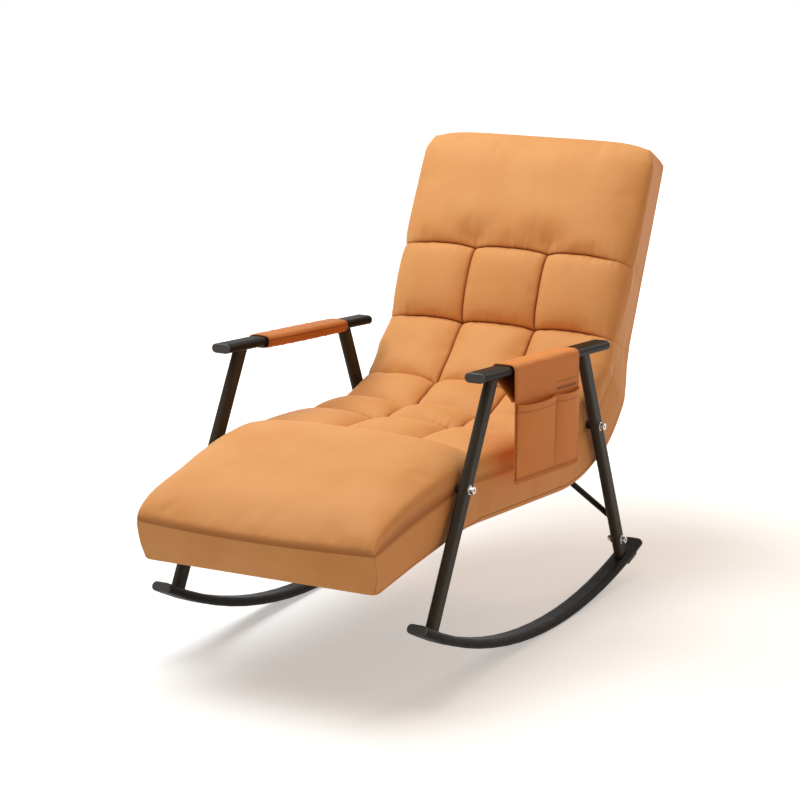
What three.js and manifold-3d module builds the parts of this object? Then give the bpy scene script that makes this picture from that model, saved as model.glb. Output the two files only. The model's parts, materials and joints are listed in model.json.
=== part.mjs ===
// Reclining rocking lounge chair: two curved steel side frames, a quilted cushion in three hinged
// parts over welded tube frames, a pocket organiser on one arm and a sleeve on the other.
// Millimetres, +Z up, the footrest towards -Y, the sitter's left towards +X.
// Every piece is laid out with the arms level; the whole chair is then rocked back about the centre
// of the runners' arc until it stands as it does at rest.
import * as THREE from 'three';
import { mergeVertices } from 'three/addons/utils/BufferGeometryUtils.js';
import Module from 'manifold-3d';

const wasm = await Module();
wasm.setup();

const degrees = THREE.MathUtils.degToRad;
const lerp = THREE.MathUtils.lerp;

// Fits and overruns
const seatGap = 0.3;             // between touching pieces
const overrun = 5;               // how far a cutting body runs past what it cuts
const regionReach = 800;         // radius of the regions that part one cushion from the next
const restTilt = degrees(4.1);

// Cushion, seen from the side
const cushionWidth = 516;
const seatUnderside = 275;       // above the lowest point of the runners' arc
const bendStart = 137;           // where the underside starts to curve up into the back
const bendRadius = 385;
const backLean = degrees(20.4);
const backRise = 453;            // straight part of the back, above the bend
const kinkReach = 435;           // from bendStart forward to the footrest's kink
const kinkRadius = 80;
const footrestDrop = degrees(12.5);
const footrestLength = 332;      // straight part, in front of the kink
const footrestFrontLean = 6;
const footrestFrontBow = 16;

// Seams between the rows: distance from bendStart along the underside, and height above it
const calfSeamReach = -399;
const calfSeamHeight = 122;
const lowerThighSeamReach = -145;
const lowerThighSeamHeight = 126;
const upperThighSeamReach = -14;
const upperThighSeamHeight = 133;
const lumbarSeamReach = 185;
const lumbarSeamHeight = 158;
const waistSeamReach = 467;
const waistSeamHeight = 152;
const shoulderSeamReach = 638;
const shoulderSeamHeight = 162;

// Quilting
const footrestRise = 56;
const seatRowRise = 30;
const backRowRise = 34;
const headrestRise = 36;
const footrestWelt = 82;         // height of the side welt above the underside
const kinkWelt = 85;
const seatWelt = 93;
const backWelt = 118;
const columnSeam = 89;           // from the middle to the seams between the columns
const tuftDepth = 5;
const sideDrawIn = 4;
const bottomRound = 8;
const endRound = 5;
const columnDipShare = 0.62;
const crownPower = 6;
const crownFlare = 16;           // how far the pillows swell out over the side
const crownFrontReach = 130;      // over which that swell grows from the footrest's front
const crownEndReach = 40;        // over which it fades at the top of the back
const seamFlareShare = 0.6;
const pillowPower = 2.6;
const pillowRoundPower = 0.6;
const longPillowPower = 4;
const longPillowRoundPower = 0.5;

// Runners, legs and arms
const legClearance = 23;         // between the cushion's side and the legs
const tubeWall = 1.6;
const runnerRadius = 1359;       // underside of the runner
const runnerWidth = 44;
const runnerThickness = 20;
const runnerFrontReach = 532;
const runnerRearReach = 500;
const runnerFacet = degrees(2.5);
const armWidth = 44;
const armThickness = 20;
const armHeight = 578;           // centre of the arm tube above the arc's lowest point
const armFrontReach = 325;
const armRearReach = 262;
const legDepth = 38;
const legWidth = 18;
const frontLegTop = -255;
const frontLegFoot = -471;
const rearLegTop = 176;
const rearLegFoot = 429;
const capThickness = 6;
const capPlugLength = 14;
const capRound = 1.8;
const stopLength = 44;
const stopThickness = 12;
const stopSetback = 10;          // from the runner's rear end
const stopRound = 2;

// Bolts
const boltDiameter = 8;
const boltHeadDiameter = 15;
const boltHeadLength = 9;
const boltSocketWidth = 6;
const boltSocketDepth = 5;
const washerDiameter = 19;
const washerThickness = 1.5;
const nutWidth = 14;
const nutThickness = 7;
const boltTipLength = 2;
const frontBoltRise = 87;        // above the cushion's underside
const rearBoltRise = 127;
const footBoltRise = 38;         // above the rear leg's foot

// Hinges
const footHingeReach = 19;       // in front of the kink
const footHingeHeight = 51;
const footKnuckle = 55;
const footKnuckleGap = 4;
const footCreaseWedge = degrees(9.5);
const footFold = degrees(50);
const footRaise = degrees(8);
const backHingeTurn = degrees(39.5);
const backHingeHeight = 56;
const backKnuckle = 56;
const backKnuckleGap = 3.5;
const backCreaseWedge = degrees(11.5);
const backRecline = degrees(38);
const backForward = degrees(10);
const pinDiameter = 10;
const pinHeadDiameter = 17;
const pinHeadThickness = 3;
const plateThickness = 4;
const hingeEye = 18;
const boltEye = 14;
const bossDiameter = 18;
const bossClearance = 1.5;
const lighteningHole = 22;
const mechanismGap = 1.2;        // between a moving plate and the padding beside it

// Inner frames
const railInset = 24;            // from the cushion's side to the rail's outer face
const cheekThickness = 14;       // padding left outside the mechanism
const railSize = 20;
const railWall = 1.5;
const railStandoff = 6;          // rail above the cushion's underside
const railFront = -300;
const railRear = 165;
const railPlateSetback = 15;     // rear plate's first corner from the rail's end
const crossInset = 14;           // cross tube's centre from the end of its rails
const webWidth = 64;
const webThickness = 2.5;
const webHeadroom = 0.4;
const coverInset = 4;
const coverThickness = 3;
const recessEndGap = 8;
const backTubeStart = 4;
const backTubeEnd = 398;
const footTubeStart = 66;
const footTubeEnd = 290;
const armTaper = 24;             // how far a hinge arm laps along its tube
const strutDiameter = 13;
const strutTabThickness = 4;
const strutTabEye = 9;
const strutTopY = 212;
const strutTopRise = 21;         // above the cushion's underside
const strutTabReach = 22;
const strutFootY = 402;
const strutFootRise = 50;        // above the foot bolt
const strutFootEye = 10;
const strutLap = 2;
const strutSlitGap = 1.5;

// Arm covers
const clothThickness = 3;
const sleeveFront = -180;
const sleeveRear = 148;
const sleeveSideGap = 2;
const sleeveUnderGap = 2.1;
const organiserFront = -203;
const organiserRear = 98;
const organiserDrop = 240;       // from the top of the arm to the hem
const organiserJoin = 74;        // from the top of the arm to where the inner side is sewn on
const organiserGap = 1.8;
const organiserRound = 5;
const pocketWall = 2.4;
const pocketHem = 6;
const pocketMouthDrop = 77;      // from the top of the arm
const pocketDivider = -30;
const pocketDividerGap = 3;
const frontPocketDepth = 12;
const rearPocketDepth = 10;

// Points and outlines in the side view, where x stands for Y and y for Z
const point = (y, z) => new THREE.Vector2(y, z);
const heading = (angle) => point(Math.cos(angle), Math.sin(angle));
const along = (from, direction, distance) => from.clone().addScaledVector(direction, distance);
const between = (a, b, share) => a.clone().lerp(b, share);
const outline = (points) => new THREE.Shape(points);

function circlePoints(centre, radius, count = 20, start = 0) {
  const points = [];
  for (let i = 0; i < count; i += 1) {
    points.push(along(centre, heading(start + (2 * Math.PI * i) / count), radius));
  }
  return points;
}

function disc(centre, radius, count, start) {
  return outline(circlePoints(centre, radius, count, start));
}

function ring(centre, outer, inner, count) {
  const shape = disc(centre, outer, count);
  shape.holes.push(disc(centre, inner, count));
  return shape;
}

// The outline that a band pulled tight round several circles would take
function hullOf(circles, count) {
  const points = circles.flatMap(([centre, radius]) => circlePoints(centre, radius, count));
  points.sort((a, b) => a.x - b.x || a.y - b.y);
  const halfHull = (list) => {
    const hull = [];
    for (const p of list) {
      while (hull.length > 1) {
        const [a, b] = hull.slice(-2);
        if ((b.x - a.x) * (p.y - a.y) - (b.y - a.y) * (p.x - a.x) > 0) break;
        hull.pop();
      }
      hull.push(p);
    }
    return hull.slice(0, -1);
  };
  return outline([...halfHull(points), ...halfHull(points.slice().reverse())]);
}

// A flat oval, wide along the first axis
function flatOval(width, thickness, steps = 6) {
  const radius = thickness / 2;
  const reach = width / 2 - radius;
  const points = [];
  for (const [side, start] of [[1, -Math.PI / 2], [-1, Math.PI / 2]]) {
    for (let i = 0; i <= steps; i += 1) {
      points.push(along(point(side * reach, 0), heading(start + (Math.PI * i) / steps), radius));
    }
  }
  return points;
}

function ovalTube(width, thickness, wall) {
  const shape = outline(flatOval(width, thickness));
  shape.holes.push(outline(flatOval(width - 2 * wall, thickness - 2 * wall)));
  return shape;
}

// Bodies
const acrossBasis = new THREE.Matrix4().makeBasis(
  new THREE.Vector3(0, 1, 0), new THREE.Vector3(0, 0, 1), new THREE.Vector3(1, 0, 0));

// A side-view outline carried across the chair from one X to another
function across(shape, from, to) {
  const geometry = new THREE.ExtrudeGeometry(shape, { depth: to - from, bevelEnabled: false });
  return geometry.translate(0, 0, from).applyMatrix4(acrossBasis);
}

function solid(geometry) {
  const bare = geometry.clone();
  bare.deleteAttribute('normal');
  bare.deleteAttribute('uv');
  const merged = mergeVertices(bare);
  return new wasm.Manifold(new wasm.Mesh({
    numProp: 3,
    vertProperties: Float32Array.from(merged.attributes.position.array),
    triVerts: Uint32Array.from(merged.index.array),
  }));
}

function geometryOf(manifold) {
  const { vertProperties, triVerts } = manifold.getMesh();
  const geometry = new THREE.BufferGeometry();
  geometry.setAttribute('position', new THREE.BufferAttribute(Float32Array.from(vertProperties), 3));
  geometry.setIndex(new THREE.BufferAttribute(Uint32Array.from(triVerts), 1));
  return geometry;
}

function cut(geometry, ...tools) {
  return geometryOf(tools.reduce((left, tool) => left.subtract(solid(tool)), solid(geometry)));
}

function fuse(...pieces) {
  return geometryOf(pieces.map(solid).reduce((a, b) => a.add(b)));
}

function common(a, b) {
  return geometryOf(solid(a).intersect(solid(b)));
}

function mirrored(geometry) {
  const twin = geometryOf(solid(geometry)).scale(-1, 1, 1);
  const index = twin.index.array;
  for (let i = 0; i < index.length; i += 3) {
    [index[i], index[i + 1]] = [index[i + 1], index[i]];
  }
  return twin;
}

// A profile drawn in X and Z, carried along the chair from one Y to another
const alongBasis = new THREE.Matrix4().makeBasis(
  new THREE.Vector3(1, 0, 0), new THREE.Vector3(0, 0, 1), new THREE.Vector3(0, -1, 0));

function lengthwise(shape, from, to) {
  const geometry = new THREE.ExtrudeGeometry(shape, { depth: to - from, bevelEnabled: false });
  return geometry.applyMatrix4(alongBasis).translate(0, to, 0);
}

// Turns a body drawn upright about the origin so that it stands on a point along an axis
function stand(geometry, from, axis, x, wideAcross) {
  const sideways = new THREE.Vector3(1, 0, 0);
  const level = new THREE.Vector3().crossVectors(sideways, axis);
  const basis = new THREE.Matrix4();
  if (wideAcross) basis.makeBasis(sideways, level.negate(), axis);
  else basis.makeBasis(level, sideways, axis);
  return geometry.applyMatrix4(basis.setPosition(x, from.x, from.y));
}

// A straight bar in a side frame's plane, its outline wide along the chair or across it
function bar(shape, from, to, x, wideAcross = false) {
  const axis = new THREE.Vector3(0, to.x - from.x, to.y - from.y);
  const geometry = new THREE.ExtrudeGeometry(shape, { depth: axis.length(), bevelEnabled: false });
  return stand(geometry, from, axis.normalize(), x, wideAcross);
}

// A round rod between two points of the chair
function rod(from, to, diameter, sides = 14) {
  const axis = new THREE.Vector3().subVectors(to, from);
  const geometry = new THREE.CylinderGeometry(diameter / 2, diameter / 2, axis.length(), sides);
  const turn = new THREE.Quaternion().setFromUnitVectors(
    new THREE.Vector3(0, 1, 0), axis.clone().normalize());
  return geometry.applyQuaternion(turn).translate(...from.clone().addScaledVector(axis, 1 / 2));
}

// The same cut on both sides of the chair
function bothSides(shape, from, to) {
  return [across(shape, from, to), across(shape, -to, -from)];
}

// Scene graph
const chair = new THREE.Group();
const footrest = new THREE.Group();
const backrest = new THREE.Group();
chair.add(footrest, backrest);

const steelPaint = { color: 0x2c2925, roughness: 0.42, metalness: 0.55 };
const innerSteel = { color: 0x3a3a3c, roughness: 0.5, metalness: 0.7 };
const brightSteel = { color: 0xc4c4c2, roughness: 0.25, metalness: 0.95 };
const blackRubber = { color: 0x161616, roughness: 0.85, metalness: 0 };
const leather = { color: 0xe2965a, roughness: 0.5, metalness: 0 };
const organiserLeather = { color: 0xbe7346, roughness: 0.55, metalness: 0 };
const webCloth = { color: 0x2b2b2b, roughness: 0.9, metalness: 0 };
const coverCloth = { color: 0x6b5444, roughness: 0.95, metalness: 0 };

function add(group, name, geometry, finish) {
  const mesh = new THREE.Mesh(geometry.translate(0, -group.position.y, -group.position.z),
    new THREE.MeshStandardMaterial(finish));
  mesh.name = name;
  group.add(mesh);
}

function addPair(group, name, geometry, finish) {
  add(group, `${name}_right`, mirrored(geometry), finish);
  add(group, `${name}_left`, geometry, finish);
}

// Side frames, drawn on the left and mirrored
const legInnerX = cushionWidth / 2 + legClearance;
const legOuterX = legInnerX + legWidth;
const sideX = legInnerX + legWidth / 2;
const arcCentre = point(0, runnerRadius);
const armUnder = armHeight - armThickness / 2;
const armTop = armHeight + armThickness / 2;
const arcTurn = (y) => Math.asin(y / runnerRadius);
const onArc = (turn, radius) => along(arcCentre, heading(turn - Math.PI / 2), radius);
const arcHeight = (y, radius) => runnerRadius - Math.sqrt(radius * radius - y * y);

// Facet edges of the runner lie evenly to both sides of the point that touches the floor at rest
function facetTurns(from, to) {
  const turns = [from];
  const first = Math.ceil((from - restTilt) / runnerFacet + 0.5) - 0.5;
  for (let i = first; restTilt + i * runnerFacet < to; i += 1) {
    turns.push(restTilt + i * runnerFacet);
  }
  turns.push(to);
  return turns;
}

class RunnerLine extends THREE.Curve {
  constructor(turns, radius) {
    super();
    this.turns = turns;
    this.radius = radius;
  }

  getPoint(share) {
    const place = share * (this.turns.length - 1);
    const index = Math.min(Math.floor(place), this.turns.length - 2);
    const turn = THREE.MathUtils.lerp(this.turns[index], this.turns[index + 1], place - index);
    const spot = onArc(turn, this.radius);
    return new THREE.Vector3(0, spot.x, spot.y);
  }

  getPointAt(share) {
    return this.getPoint(share);
  }

  getTangentAt(share) {
    const place = share * (this.turns.length - 1);
    const index = Math.min(Math.floor(place), this.turns.length - 2);
    const turn = THREE.MathUtils.lerp(this.turns[index], this.turns[index + 1], place - index);
    return new THREE.Vector3(0, Math.cos(turn), Math.sin(turn));
  }
}

function runnerBody(shape, from, to) {
  const turns = facetTurns(from, to);
  const path = new RunnerLine(turns, runnerRadius - runnerThickness / 2);
  const geometry = new THREE.ExtrudeGeometry(shape, { steps: turns.length - 1, extrudePath: path });
  return geometry.translate(sideX, 0, 0);
}

// A plug with a rounded flange, for the open end of a flat-oval tube
function endCap(width, thickness) {
  const rim = outline(flatOval(width - 2 * capRound, thickness - 2 * capRound));
  const flange = new THREE.ExtrudeGeometry(rim, {
    depth: capThickness - 2 * capRound,
    bevelThickness: capRound,
    bevelSize: capRound,
    bevelSegments: 1,
  });
  flange.translate(0, 0, seatGap + capRound);
  const inset = 2 * (tubeWall + seatGap);
  const plug = new THREE.ExtrudeGeometry(outline(flatOval(width - inset, thickness - inset)),
    { depth: capPlugLength + capThickness / 2, bevelEnabled: false });
  return fuse(flange, plug.translate(0, 0, -capPlugLength));
}

const frontTurn = arcTurn(-runnerFrontReach);
const rearTurn = arcTurn(runnerRearReach);
addPair(chair, 'runner',
  runnerBody(ovalTube(runnerWidth, runnerThickness, tubeWall), frontTurn, rearTurn), steelPaint);
for (const [end, turn, way] of [['front', frontTurn, -1], ['rear', rearTurn, 1]]) {
  const axis = new THREE.Vector3(0, way * Math.cos(turn), way * Math.sin(turn));
  const seat = onArc(turn, runnerRadius - runnerThickness / 2);
  addPair(chair, `runner_${end}_cap`,
    stand(endCap(runnerWidth, runnerThickness), seat, axis, sideX, true), blackRubber);
}

const armFront = point(-armFrontReach, armHeight);
const armRear = point(armRearReach, armHeight);
addPair(chair, 'arm_tube',
  bar(ovalTube(armWidth, armThickness, tubeWall), armFront, armRear, sideX, true), steelPaint);
for (const [end, seat, way] of [['front', armFront, -1], ['rear', armRear, 1]]) {
  const cap = stand(endCap(armWidth, armThickness), seat, new THREE.Vector3(0, way, 0), sideX, true);
  addPair(chair, `arm_${end}_cap`, cap, blackRubber);
}

// The space between an arm and its runner, which trims the legs to what they are welded to
const runnerTop = runnerRadius - runnerThickness;
const legSpace = across(outline([
  ...facetTurns(frontTurn, rearTurn).map((turn) => onArc(turn, runnerTop - seatGap)),
  point(runnerRearReach, armUnder - seatGap),
  point(-runnerFrontReach, armUnder - seatGap),
]), sideX - legWidth, sideX + legWidth);

class LegLine {
  constructor(topY, footY) {
    this.top = point(topY, armUnder);
    this.foot = point(footY, arcHeight(footY, runnerTop));
  }

  at(height) {
    return between(this.foot, this.top, (height - this.foot.y) / (this.top.y - this.foot.y));
  }

  up() {
    return this.top.clone().sub(this.foot).normalize();
  }
}

const frontLeg = new LegLine(frontLegTop, frontLegFoot);
const rearLeg = new LegLine(rearLegTop, rearLegFoot);
const frontBolt = frontLeg.at(seatUnderside + frontBoltRise);
const rearBolt = rearLeg.at(seatUnderside + rearBoltRise);
const footBolt = rearLeg.at(rearLeg.foot.y + footBoltRise);
const boltBore = (spot) => disc(spot, boltDiameter / 2 + seatGap, 12);

function leg(line, ...bolts) {
  const reach = line.up().multiplyScalar(legDepth);
  const tube = bar(ovalTube(legDepth, legWidth, tubeWall),
    line.foot.clone().sub(reach), line.top.clone().add(reach), sideX);
  const bores = bolts.map((spot) => across(boltBore(spot), legInnerX - overrun, legOuterX + overrun));
  return cut(common(tube, legSpace), ...bores);
}

addPair(chair, 'front_leg', leg(frontLeg, frontBolt), steelPaint);
addPair(chair, 'rear_leg', leg(rearLeg, rearBolt, footBolt), steelPaint);

// Rubber stops under the runners' rear ends
const stopTurns = facetTurns(arcTurn(runnerRearReach - stopSetback - stopLength),
  arcTurn(runnerRearReach - stopSetback));
const stopRoundTurn = stopRound / runnerRadius;
const stopEnd = stopTurns.at(-1);
const stopBlock = outline([
  ...stopTurns.map((turn) => onArc(turn, runnerRadius + seatGap)),
  onArc(stopEnd, runnerRadius + stopThickness - stopRound),
  onArc(stopEnd - stopRoundTurn, runnerRadius + stopThickness),
  onArc(stopTurns[0] + stopRoundTurn, runnerRadius + stopThickness),
  onArc(stopTurns[0], runnerRadius + stopThickness - stopRound),
]);
const stopHalfWidth = (runnerWidth - runnerThickness) / 2;
addPair(chair, 'runner_stop',
  across(stopBlock, sideX - stopHalfWidth, sideX + stopHalfWidth), blackRubber);

// Cushion line: footrest, kink, seat, bend and back as one run, and places square to it
const bendCentre = point(bendStart, seatUnderside + bendRadius);
const bendTurn = Math.PI / 2 - backLean;
const bendLength = bendRadius * bendTurn;
const kinkLength = kinkRadius * footrestDrop;
const kinkCentre = point(bendStart - kinkReach, seatUnderside - kinkRadius);
const lineFront = -(kinkReach + kinkLength + footrestLength);
const lineRear = bendLength + backRise;
const quarter = Math.PI / 2;

function baseTurn(reach) {
  if (reach > 0) return Math.min(reach, bendLength) / bendRadius;
  return Math.min(Math.max(-reach - kinkReach, 0), kinkLength) / kinkRadius;
}

function cushionSpot(reach, height) {
  const turn = baseTurn(reach);
  const normal = heading(turn + quarter);
  let foot;
  if (reach >= 0) {
    foot = along(bendCentre, normal, -bendRadius);
    foot.addScaledVector(heading(turn), Math.max(reach - bendLength, 0));
  } else if (reach > -kinkReach) {
    foot = point(bendStart + reach, seatUnderside);
  } else {
    foot = along(kinkCentre, normal, kinkRadius);
    foot.addScaledVector(heading(turn), Math.min(reach + kinkReach + kinkLength, 0));
  }
  return foot.addScaledVector(normal, height);
}

// Hinge places, and the creases where one cushion folds against the next
const angleTo = (from, to) => Math.atan2(to.y - from.y, to.x - from.x);
const footOrigin = cushionSpot(-(kinkReach + kinkLength + footHingeReach), 0);
const footHinge = cushionSpot(-(kinkReach + kinkLength + footHingeReach), footHingeHeight);
const footCrease = angleTo(footHinge, cushionSpot(calfSeamReach, calfSeamHeight));
const footLower = angleTo(footHinge, cushionSpot(-(kinkReach + kinkLength), 0));
const backHinge = cushionSpot(bendRadius * backHingeTurn, backHingeHeight);
const backOrigin = cushionSpot(bendLength, 0);
const backCrease = angleTo(backHinge, cushionSpot(lumbarSeamReach, lumbarSeamHeight));
const backLower = backHingeTurn - quarter;
footrest.position.set(0, footHinge.x, footHinge.y);
backrest.position.set(0, backHinge.x, backHinge.y);

// Places across the chair in the mechanism on the left side, from the middle outwards
const cheekInnerX = cushionWidth / 2 - cheekThickness;
const railOuterX = cushionWidth / 2 - railInset;
const railInnerX = railOuterX - railSize;
const railMidX = railOuterX - railSize / 2;
const plateInnerX = railOuterX - railWall / 2;
const plateOuterX = plateInnerX + plateThickness;
const leafOuterX = plateInnerX - seatGap;
const leafInnerX = leafOuterX - plateThickness;
const pinInnerX = leafInnerX - seatGap - pinHeadThickness;
const pinOuterX = plateOuterX + seatGap + pinHeadThickness;
const pocketInnerX = pinInnerX - mechanismGap;
const strutFootInnerX = legInnerX - seatGap - strutTabThickness;
const footNutInnerX = strutFootInnerX - seatGap - nutThickness;

// Socket-head bolts with washers, from outside the leg inwards
function bolt(spot, reachX) {
  const seat = legOuterX + seatGap;
  const headStart = seat + washerThickness;
  const headEnd = headStart + boltHeadLength;
  const socket = disc(spot, boltSocketWidth / 2, 6);
  return cut(fuse(
    across(disc(spot, boltDiameter / 2, 12), reachX, headEnd - boltSocketDepth),
    across(disc(spot, washerDiameter / 2, 18), seat, headStart),
    across(disc(spot, boltHeadDiameter / 2, 18), headStart, headEnd),
  ), across(socket, headEnd - boltSocketDepth, headEnd + overrun));
}

addPair(chair, 'front_bolt', bolt(frontBolt, plateInnerX), brightSteel);
addPair(chair, 'rear_bolt', bolt(rearBolt, plateInnerX), brightSteel);
addPair(chair, 'foot_bolt', bolt(footBolt, footNutInnerX - boltTipLength), brightSteel);
const nutOutline = disc(footBolt, nutWidth / 2, 6);
nutOutline.holes.push(boltBore(footBolt));
addPair(chair, 'foot_nut', across(nutOutline, footNutInnerX, footNutInnerX + nutThickness), brightSteel);

// Welded inner frames: two rails, cross tubes and webs, described in each cushion's own line
class InnerFrame {
  constructor(group, prefix, origin, direction, normal, from, to) {
    Object.assign(this, { group, prefix, origin, direction, normal, from, to });
  }

  at(reach, height) {
    return along(this.origin, this.direction, reach).addScaledVector(this.normal, height);
  }

  box(from, to, low, high) {
    return outline([this.at(from, low), this.at(to, low), this.at(to, high), this.at(from, high)]);
  }

  rail() {
    const section = squareTube(railSize, railWall);
    return bar(section, this.at(this.from, railMiddle), this.at(this.to, railMiddle), railMidX);
  }

  addCrossTubes() {
    const ends = [['front', this.from + crossInset], ['rear', this.to - crossInset]];
    for (const [end, reach] of ends) {
      const tube = ring(this.at(reach, railMiddle), railSize / 2, railSize / 2 - railWall, 18);
      add(this.group, `${this.prefix}_${end}_cross_tube`,
        across(tube, -(railInnerX - seatGap), railInnerX - seatGap), innerSteel);
    }
  }

  addWebs(count) {
    const pitch = (this.to - this.from) / (count + 1);
    for (let i = 1; i <= count; i += 1) {
      const middle = this.from + i * pitch;
      const strap = this.box(middle - webWidth / 2, middle + webWidth / 2, webLow, webLow + webThickness);
      add(this.group, `${this.prefix}_web_${i}`, across(strap, -railOuterX, railOuterX), webCloth);
    }
  }

  addCover(from, to) {
    const sheet = this.box(from, to, railStandoff - seatGap - coverThickness, railStandoff - seatGap);
    add(this.group, `${this.prefix}_cover`,
      across(sheet, -(railOuterX - coverInset), railOuterX - coverInset), coverCloth);
  }

  recess(halfWidth) {
    const hollow = this.box(this.from - recessEndGap, this.to + recessEndGap, -overrun, recessTop);
    return across(hollow, -halfWidth, halfWidth);
  }
}

function squareTube(size, wall) {
  const square = (half) => [point(-half, -half), point(half, -half), point(half, half), point(-half, half)];
  const shape = outline(square(size / 2));
  shape.holes.push(outline(square(size / 2 - wall)));
  return shape;
}

const railMiddle = railStandoff + railSize / 2;
const webLow = railStandoff + railSize + seatGap;
const recessTop = webLow + webThickness + webHeadroom;
const seatFrame = new InnerFrame(chair, 'seat',
  point(0, seatUnderside), point(1, 0), point(0, 1), railFront, railRear);
const backFrame = new InnerFrame(backrest, 'back',
  backOrigin, heading(bendTurn), heading(bendTurn + quarter), backTubeStart, backTubeEnd);
const footFrame = new InnerFrame(footrest, 'footrest',
  footOrigin, heading(footrestDrop + Math.PI), heading(footrestDrop + quarter), footTubeStart, footTubeEnd);

function plateShape(circles, ...holes) {
  const shape = hullOf(circles);
  shape.holes.push(...holes);
  return shape;
}

const pinBore = (spot) => disc(spot, pinDiameter / 2 + seatGap, 12);
const rearPlateSpot = seatFrame.at(railRear - railPlateSetback, railMiddle);
const lighteningSpot = rearPlateSpot.clone().add(rearBolt).add(backHinge).divideScalar(3);
const frontPlate = plateShape(
  [[seatFrame.at(railFront, railMiddle), railSize / 2], [frontBolt, boltEye], [footHinge, hingeEye]],
  boltBore(frontBolt), pinBore(footHinge));
const rearPlate = plateShape(
  [[rearPlateSpot, railSize / 2], [rearBolt, boltEye], [backHinge, hingeEye]],
  boltBore(rearBolt), pinBore(backHinge), disc(lighteningSpot, lighteningHole / 2, 16));
const boss = (spot) => across(ring(spot, bossDiameter / 2, boltDiameter / 2 + seatGap, 12),
  plateOuterX - plateThickness / 2, legInnerX - seatGap);
addPair(chair, 'seat_rail', fuse(
  seatFrame.rail(),
  across(frontPlate, plateInnerX, plateOuterX),
  across(rearPlate, plateInnerX, plateOuterX),
  boss(frontBolt),
  boss(rearBolt),
), innerSteel);
seatFrame.addCrossTubes();
seatFrame.addWebs(3);
seatFrame.addCover(railFront + coverInset, railRear - coverInset);

// Side tubes of the back and footrest, each with the arm that turns on its hinge pin
function armCircles(frame, hinge) {
  const lap = frame.at(frame.from + armTaper, railMiddle);
  return [[hinge, hingeEye], [lap, railSize / 2]];
}

function sideTube(frame, hinge) {
  const arm = plateShape(armCircles(frame, hinge), pinBore(hinge));
  return fuse(frame.rail(), across(arm, leafInnerX, leafOuterX));
}

for (const [frame, hinge, webs] of [[backFrame, backHinge, 2], [footFrame, footHinge, 1]]) {
  addPair(frame.group, `${frame.prefix}_side_tube`, sideTube(frame, hinge), innerSteel);
  frame.addCrossTubes();
  frame.addWebs(webs);
  frame.addCover(frame.from + coverInset, frame.to - coverInset);
}

function hingePin(spot) {
  const head = disc(spot, pinHeadDiameter / 2, 16);
  return fuse(
    across(disc(spot, pinDiameter / 2, 12), pinInnerX, pinOuterX),
    across(head, pinInnerX, pinInnerX + pinHeadThickness),
    across(head, pinOuterX - pinHeadThickness, pinOuterX),
  );
}

addPair(chair, 'footrest_hinge_pin', hingePin(footHinge), brightSteel);
addPair(chair, 'back_hinge_pin', hingePin(backHinge), brightSteel);

// Struts from the seat rails' rear plates down to the feet of the rear legs
const strutTabX = plateOuterX + seatGap;
const strutTop = new THREE.Vector3(
  strutTabX + strutTabThickness / 2, strutTopY, seatUnderside + strutTopRise);
const strutFoot = new THREE.Vector3(
  strutFootInnerX - strutDiameter / 2 + strutLap, strutFootY, footBolt.y + strutFootRise);
const sideOf = (spot) => point(spot.y, spot.z);
const strutUp = sideOf(strutTop).sub(sideOf(strutFoot)).normalize();
const strutTab = hullOf([
  [sideOf(strutTop), strutDiameter / 2],
  [along(sideOf(strutTop), strutUp, strutTabReach), strutTabEye],
]);
const strutFootPlate = hullOf([[sideOf(strutFoot), strutDiameter / 2], [footBolt, strutFootEye]]);
strutFootPlate.holes.push(boltBore(footBolt));
addPair(chair, 'strut', fuse(
  rod(strutTop, strutFoot, strutDiameter),
  across(strutTab, strutTabX, strutTabX + strutTabThickness),
  across(strutFootPlate, strutFootInnerX, strutFootInnerX + strutTabThickness),
), steelPaint);

// The quilted surface: rows of pillows between the seams, most of them divided in three columns
const pillow = (share, power = pillowPower, round = pillowRoundPower) => (
  (1 - Math.abs(2 * share - 1) ** power) ** round);
const quiltShares = [0, 0.07, 0.22, 0.5, 0.78, 0.93];
const longShares = [0, 0.02, 0.06, 0.13, 0.25, 0.42, 0.62, 0.8, 0.93];
const headShares = [0, ...longShares.slice(1).map((share) => 1 - share).reverse()];
const columnShares = [1.25, 1.07, 1, 0.93, 0.55, 0];
const flankShares = [0.995, 0.97, 0.92, 0.84, 0.66];
const seam = (reach, height) => ({ reach, height });
const calf = seam(calfSeamReach, calfSeamHeight);
const lowerThigh = seam(lowerThighSeamReach, lowerThighSeamHeight);
const upperThigh = seam(upperThighSeamReach, upperThighSeamHeight);
const lumbar = seam(lumbarSeamReach, lumbarSeamHeight);
const waist = seam(waistSeamReach, waistSeamHeight);
const shoulder = seam(shoulderSeamReach, shoulderSeamHeight);
const frontEdge = seam(lineFront, footrestWelt);
const rearEdge = seam(lineRear, backWelt);
const kinkShares = [kinkLength, 0].map((part) => (
  (-kinkReach - part - lineFront) / (calfSeamReach - lineFront)));
const footShares = [...longShares, ...kinkShares].sort((a, b) => a - b);
const rows = [
  { from: frontEdge, to: calf, rise: footrestRise, welts: [footrestWelt, kinkWelt], shares: footShares },
  { from: calf, to: lowerThigh, rise: seatRowRise, welts: [kinkWelt, seatWelt] },
  { from: lowerThigh, to: upperThigh, rise: seatRowRise, welts: [seatWelt, seatWelt] },
  { from: upperThigh, to: lumbar, rise: seatRowRise, welts: [seatWelt, seatWelt] },
  { from: lumbar, to: waist, rise: backRowRise, welts: [seatWelt, backWelt] },
  { from: waist, to: shoulder, rise: backRowRise, welts: [backWelt, backWelt] },
  { from: shoulder, to: rearEdge, rise: headrestRise, welts: [backWelt, backWelt], shares: headShares },
];

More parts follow.
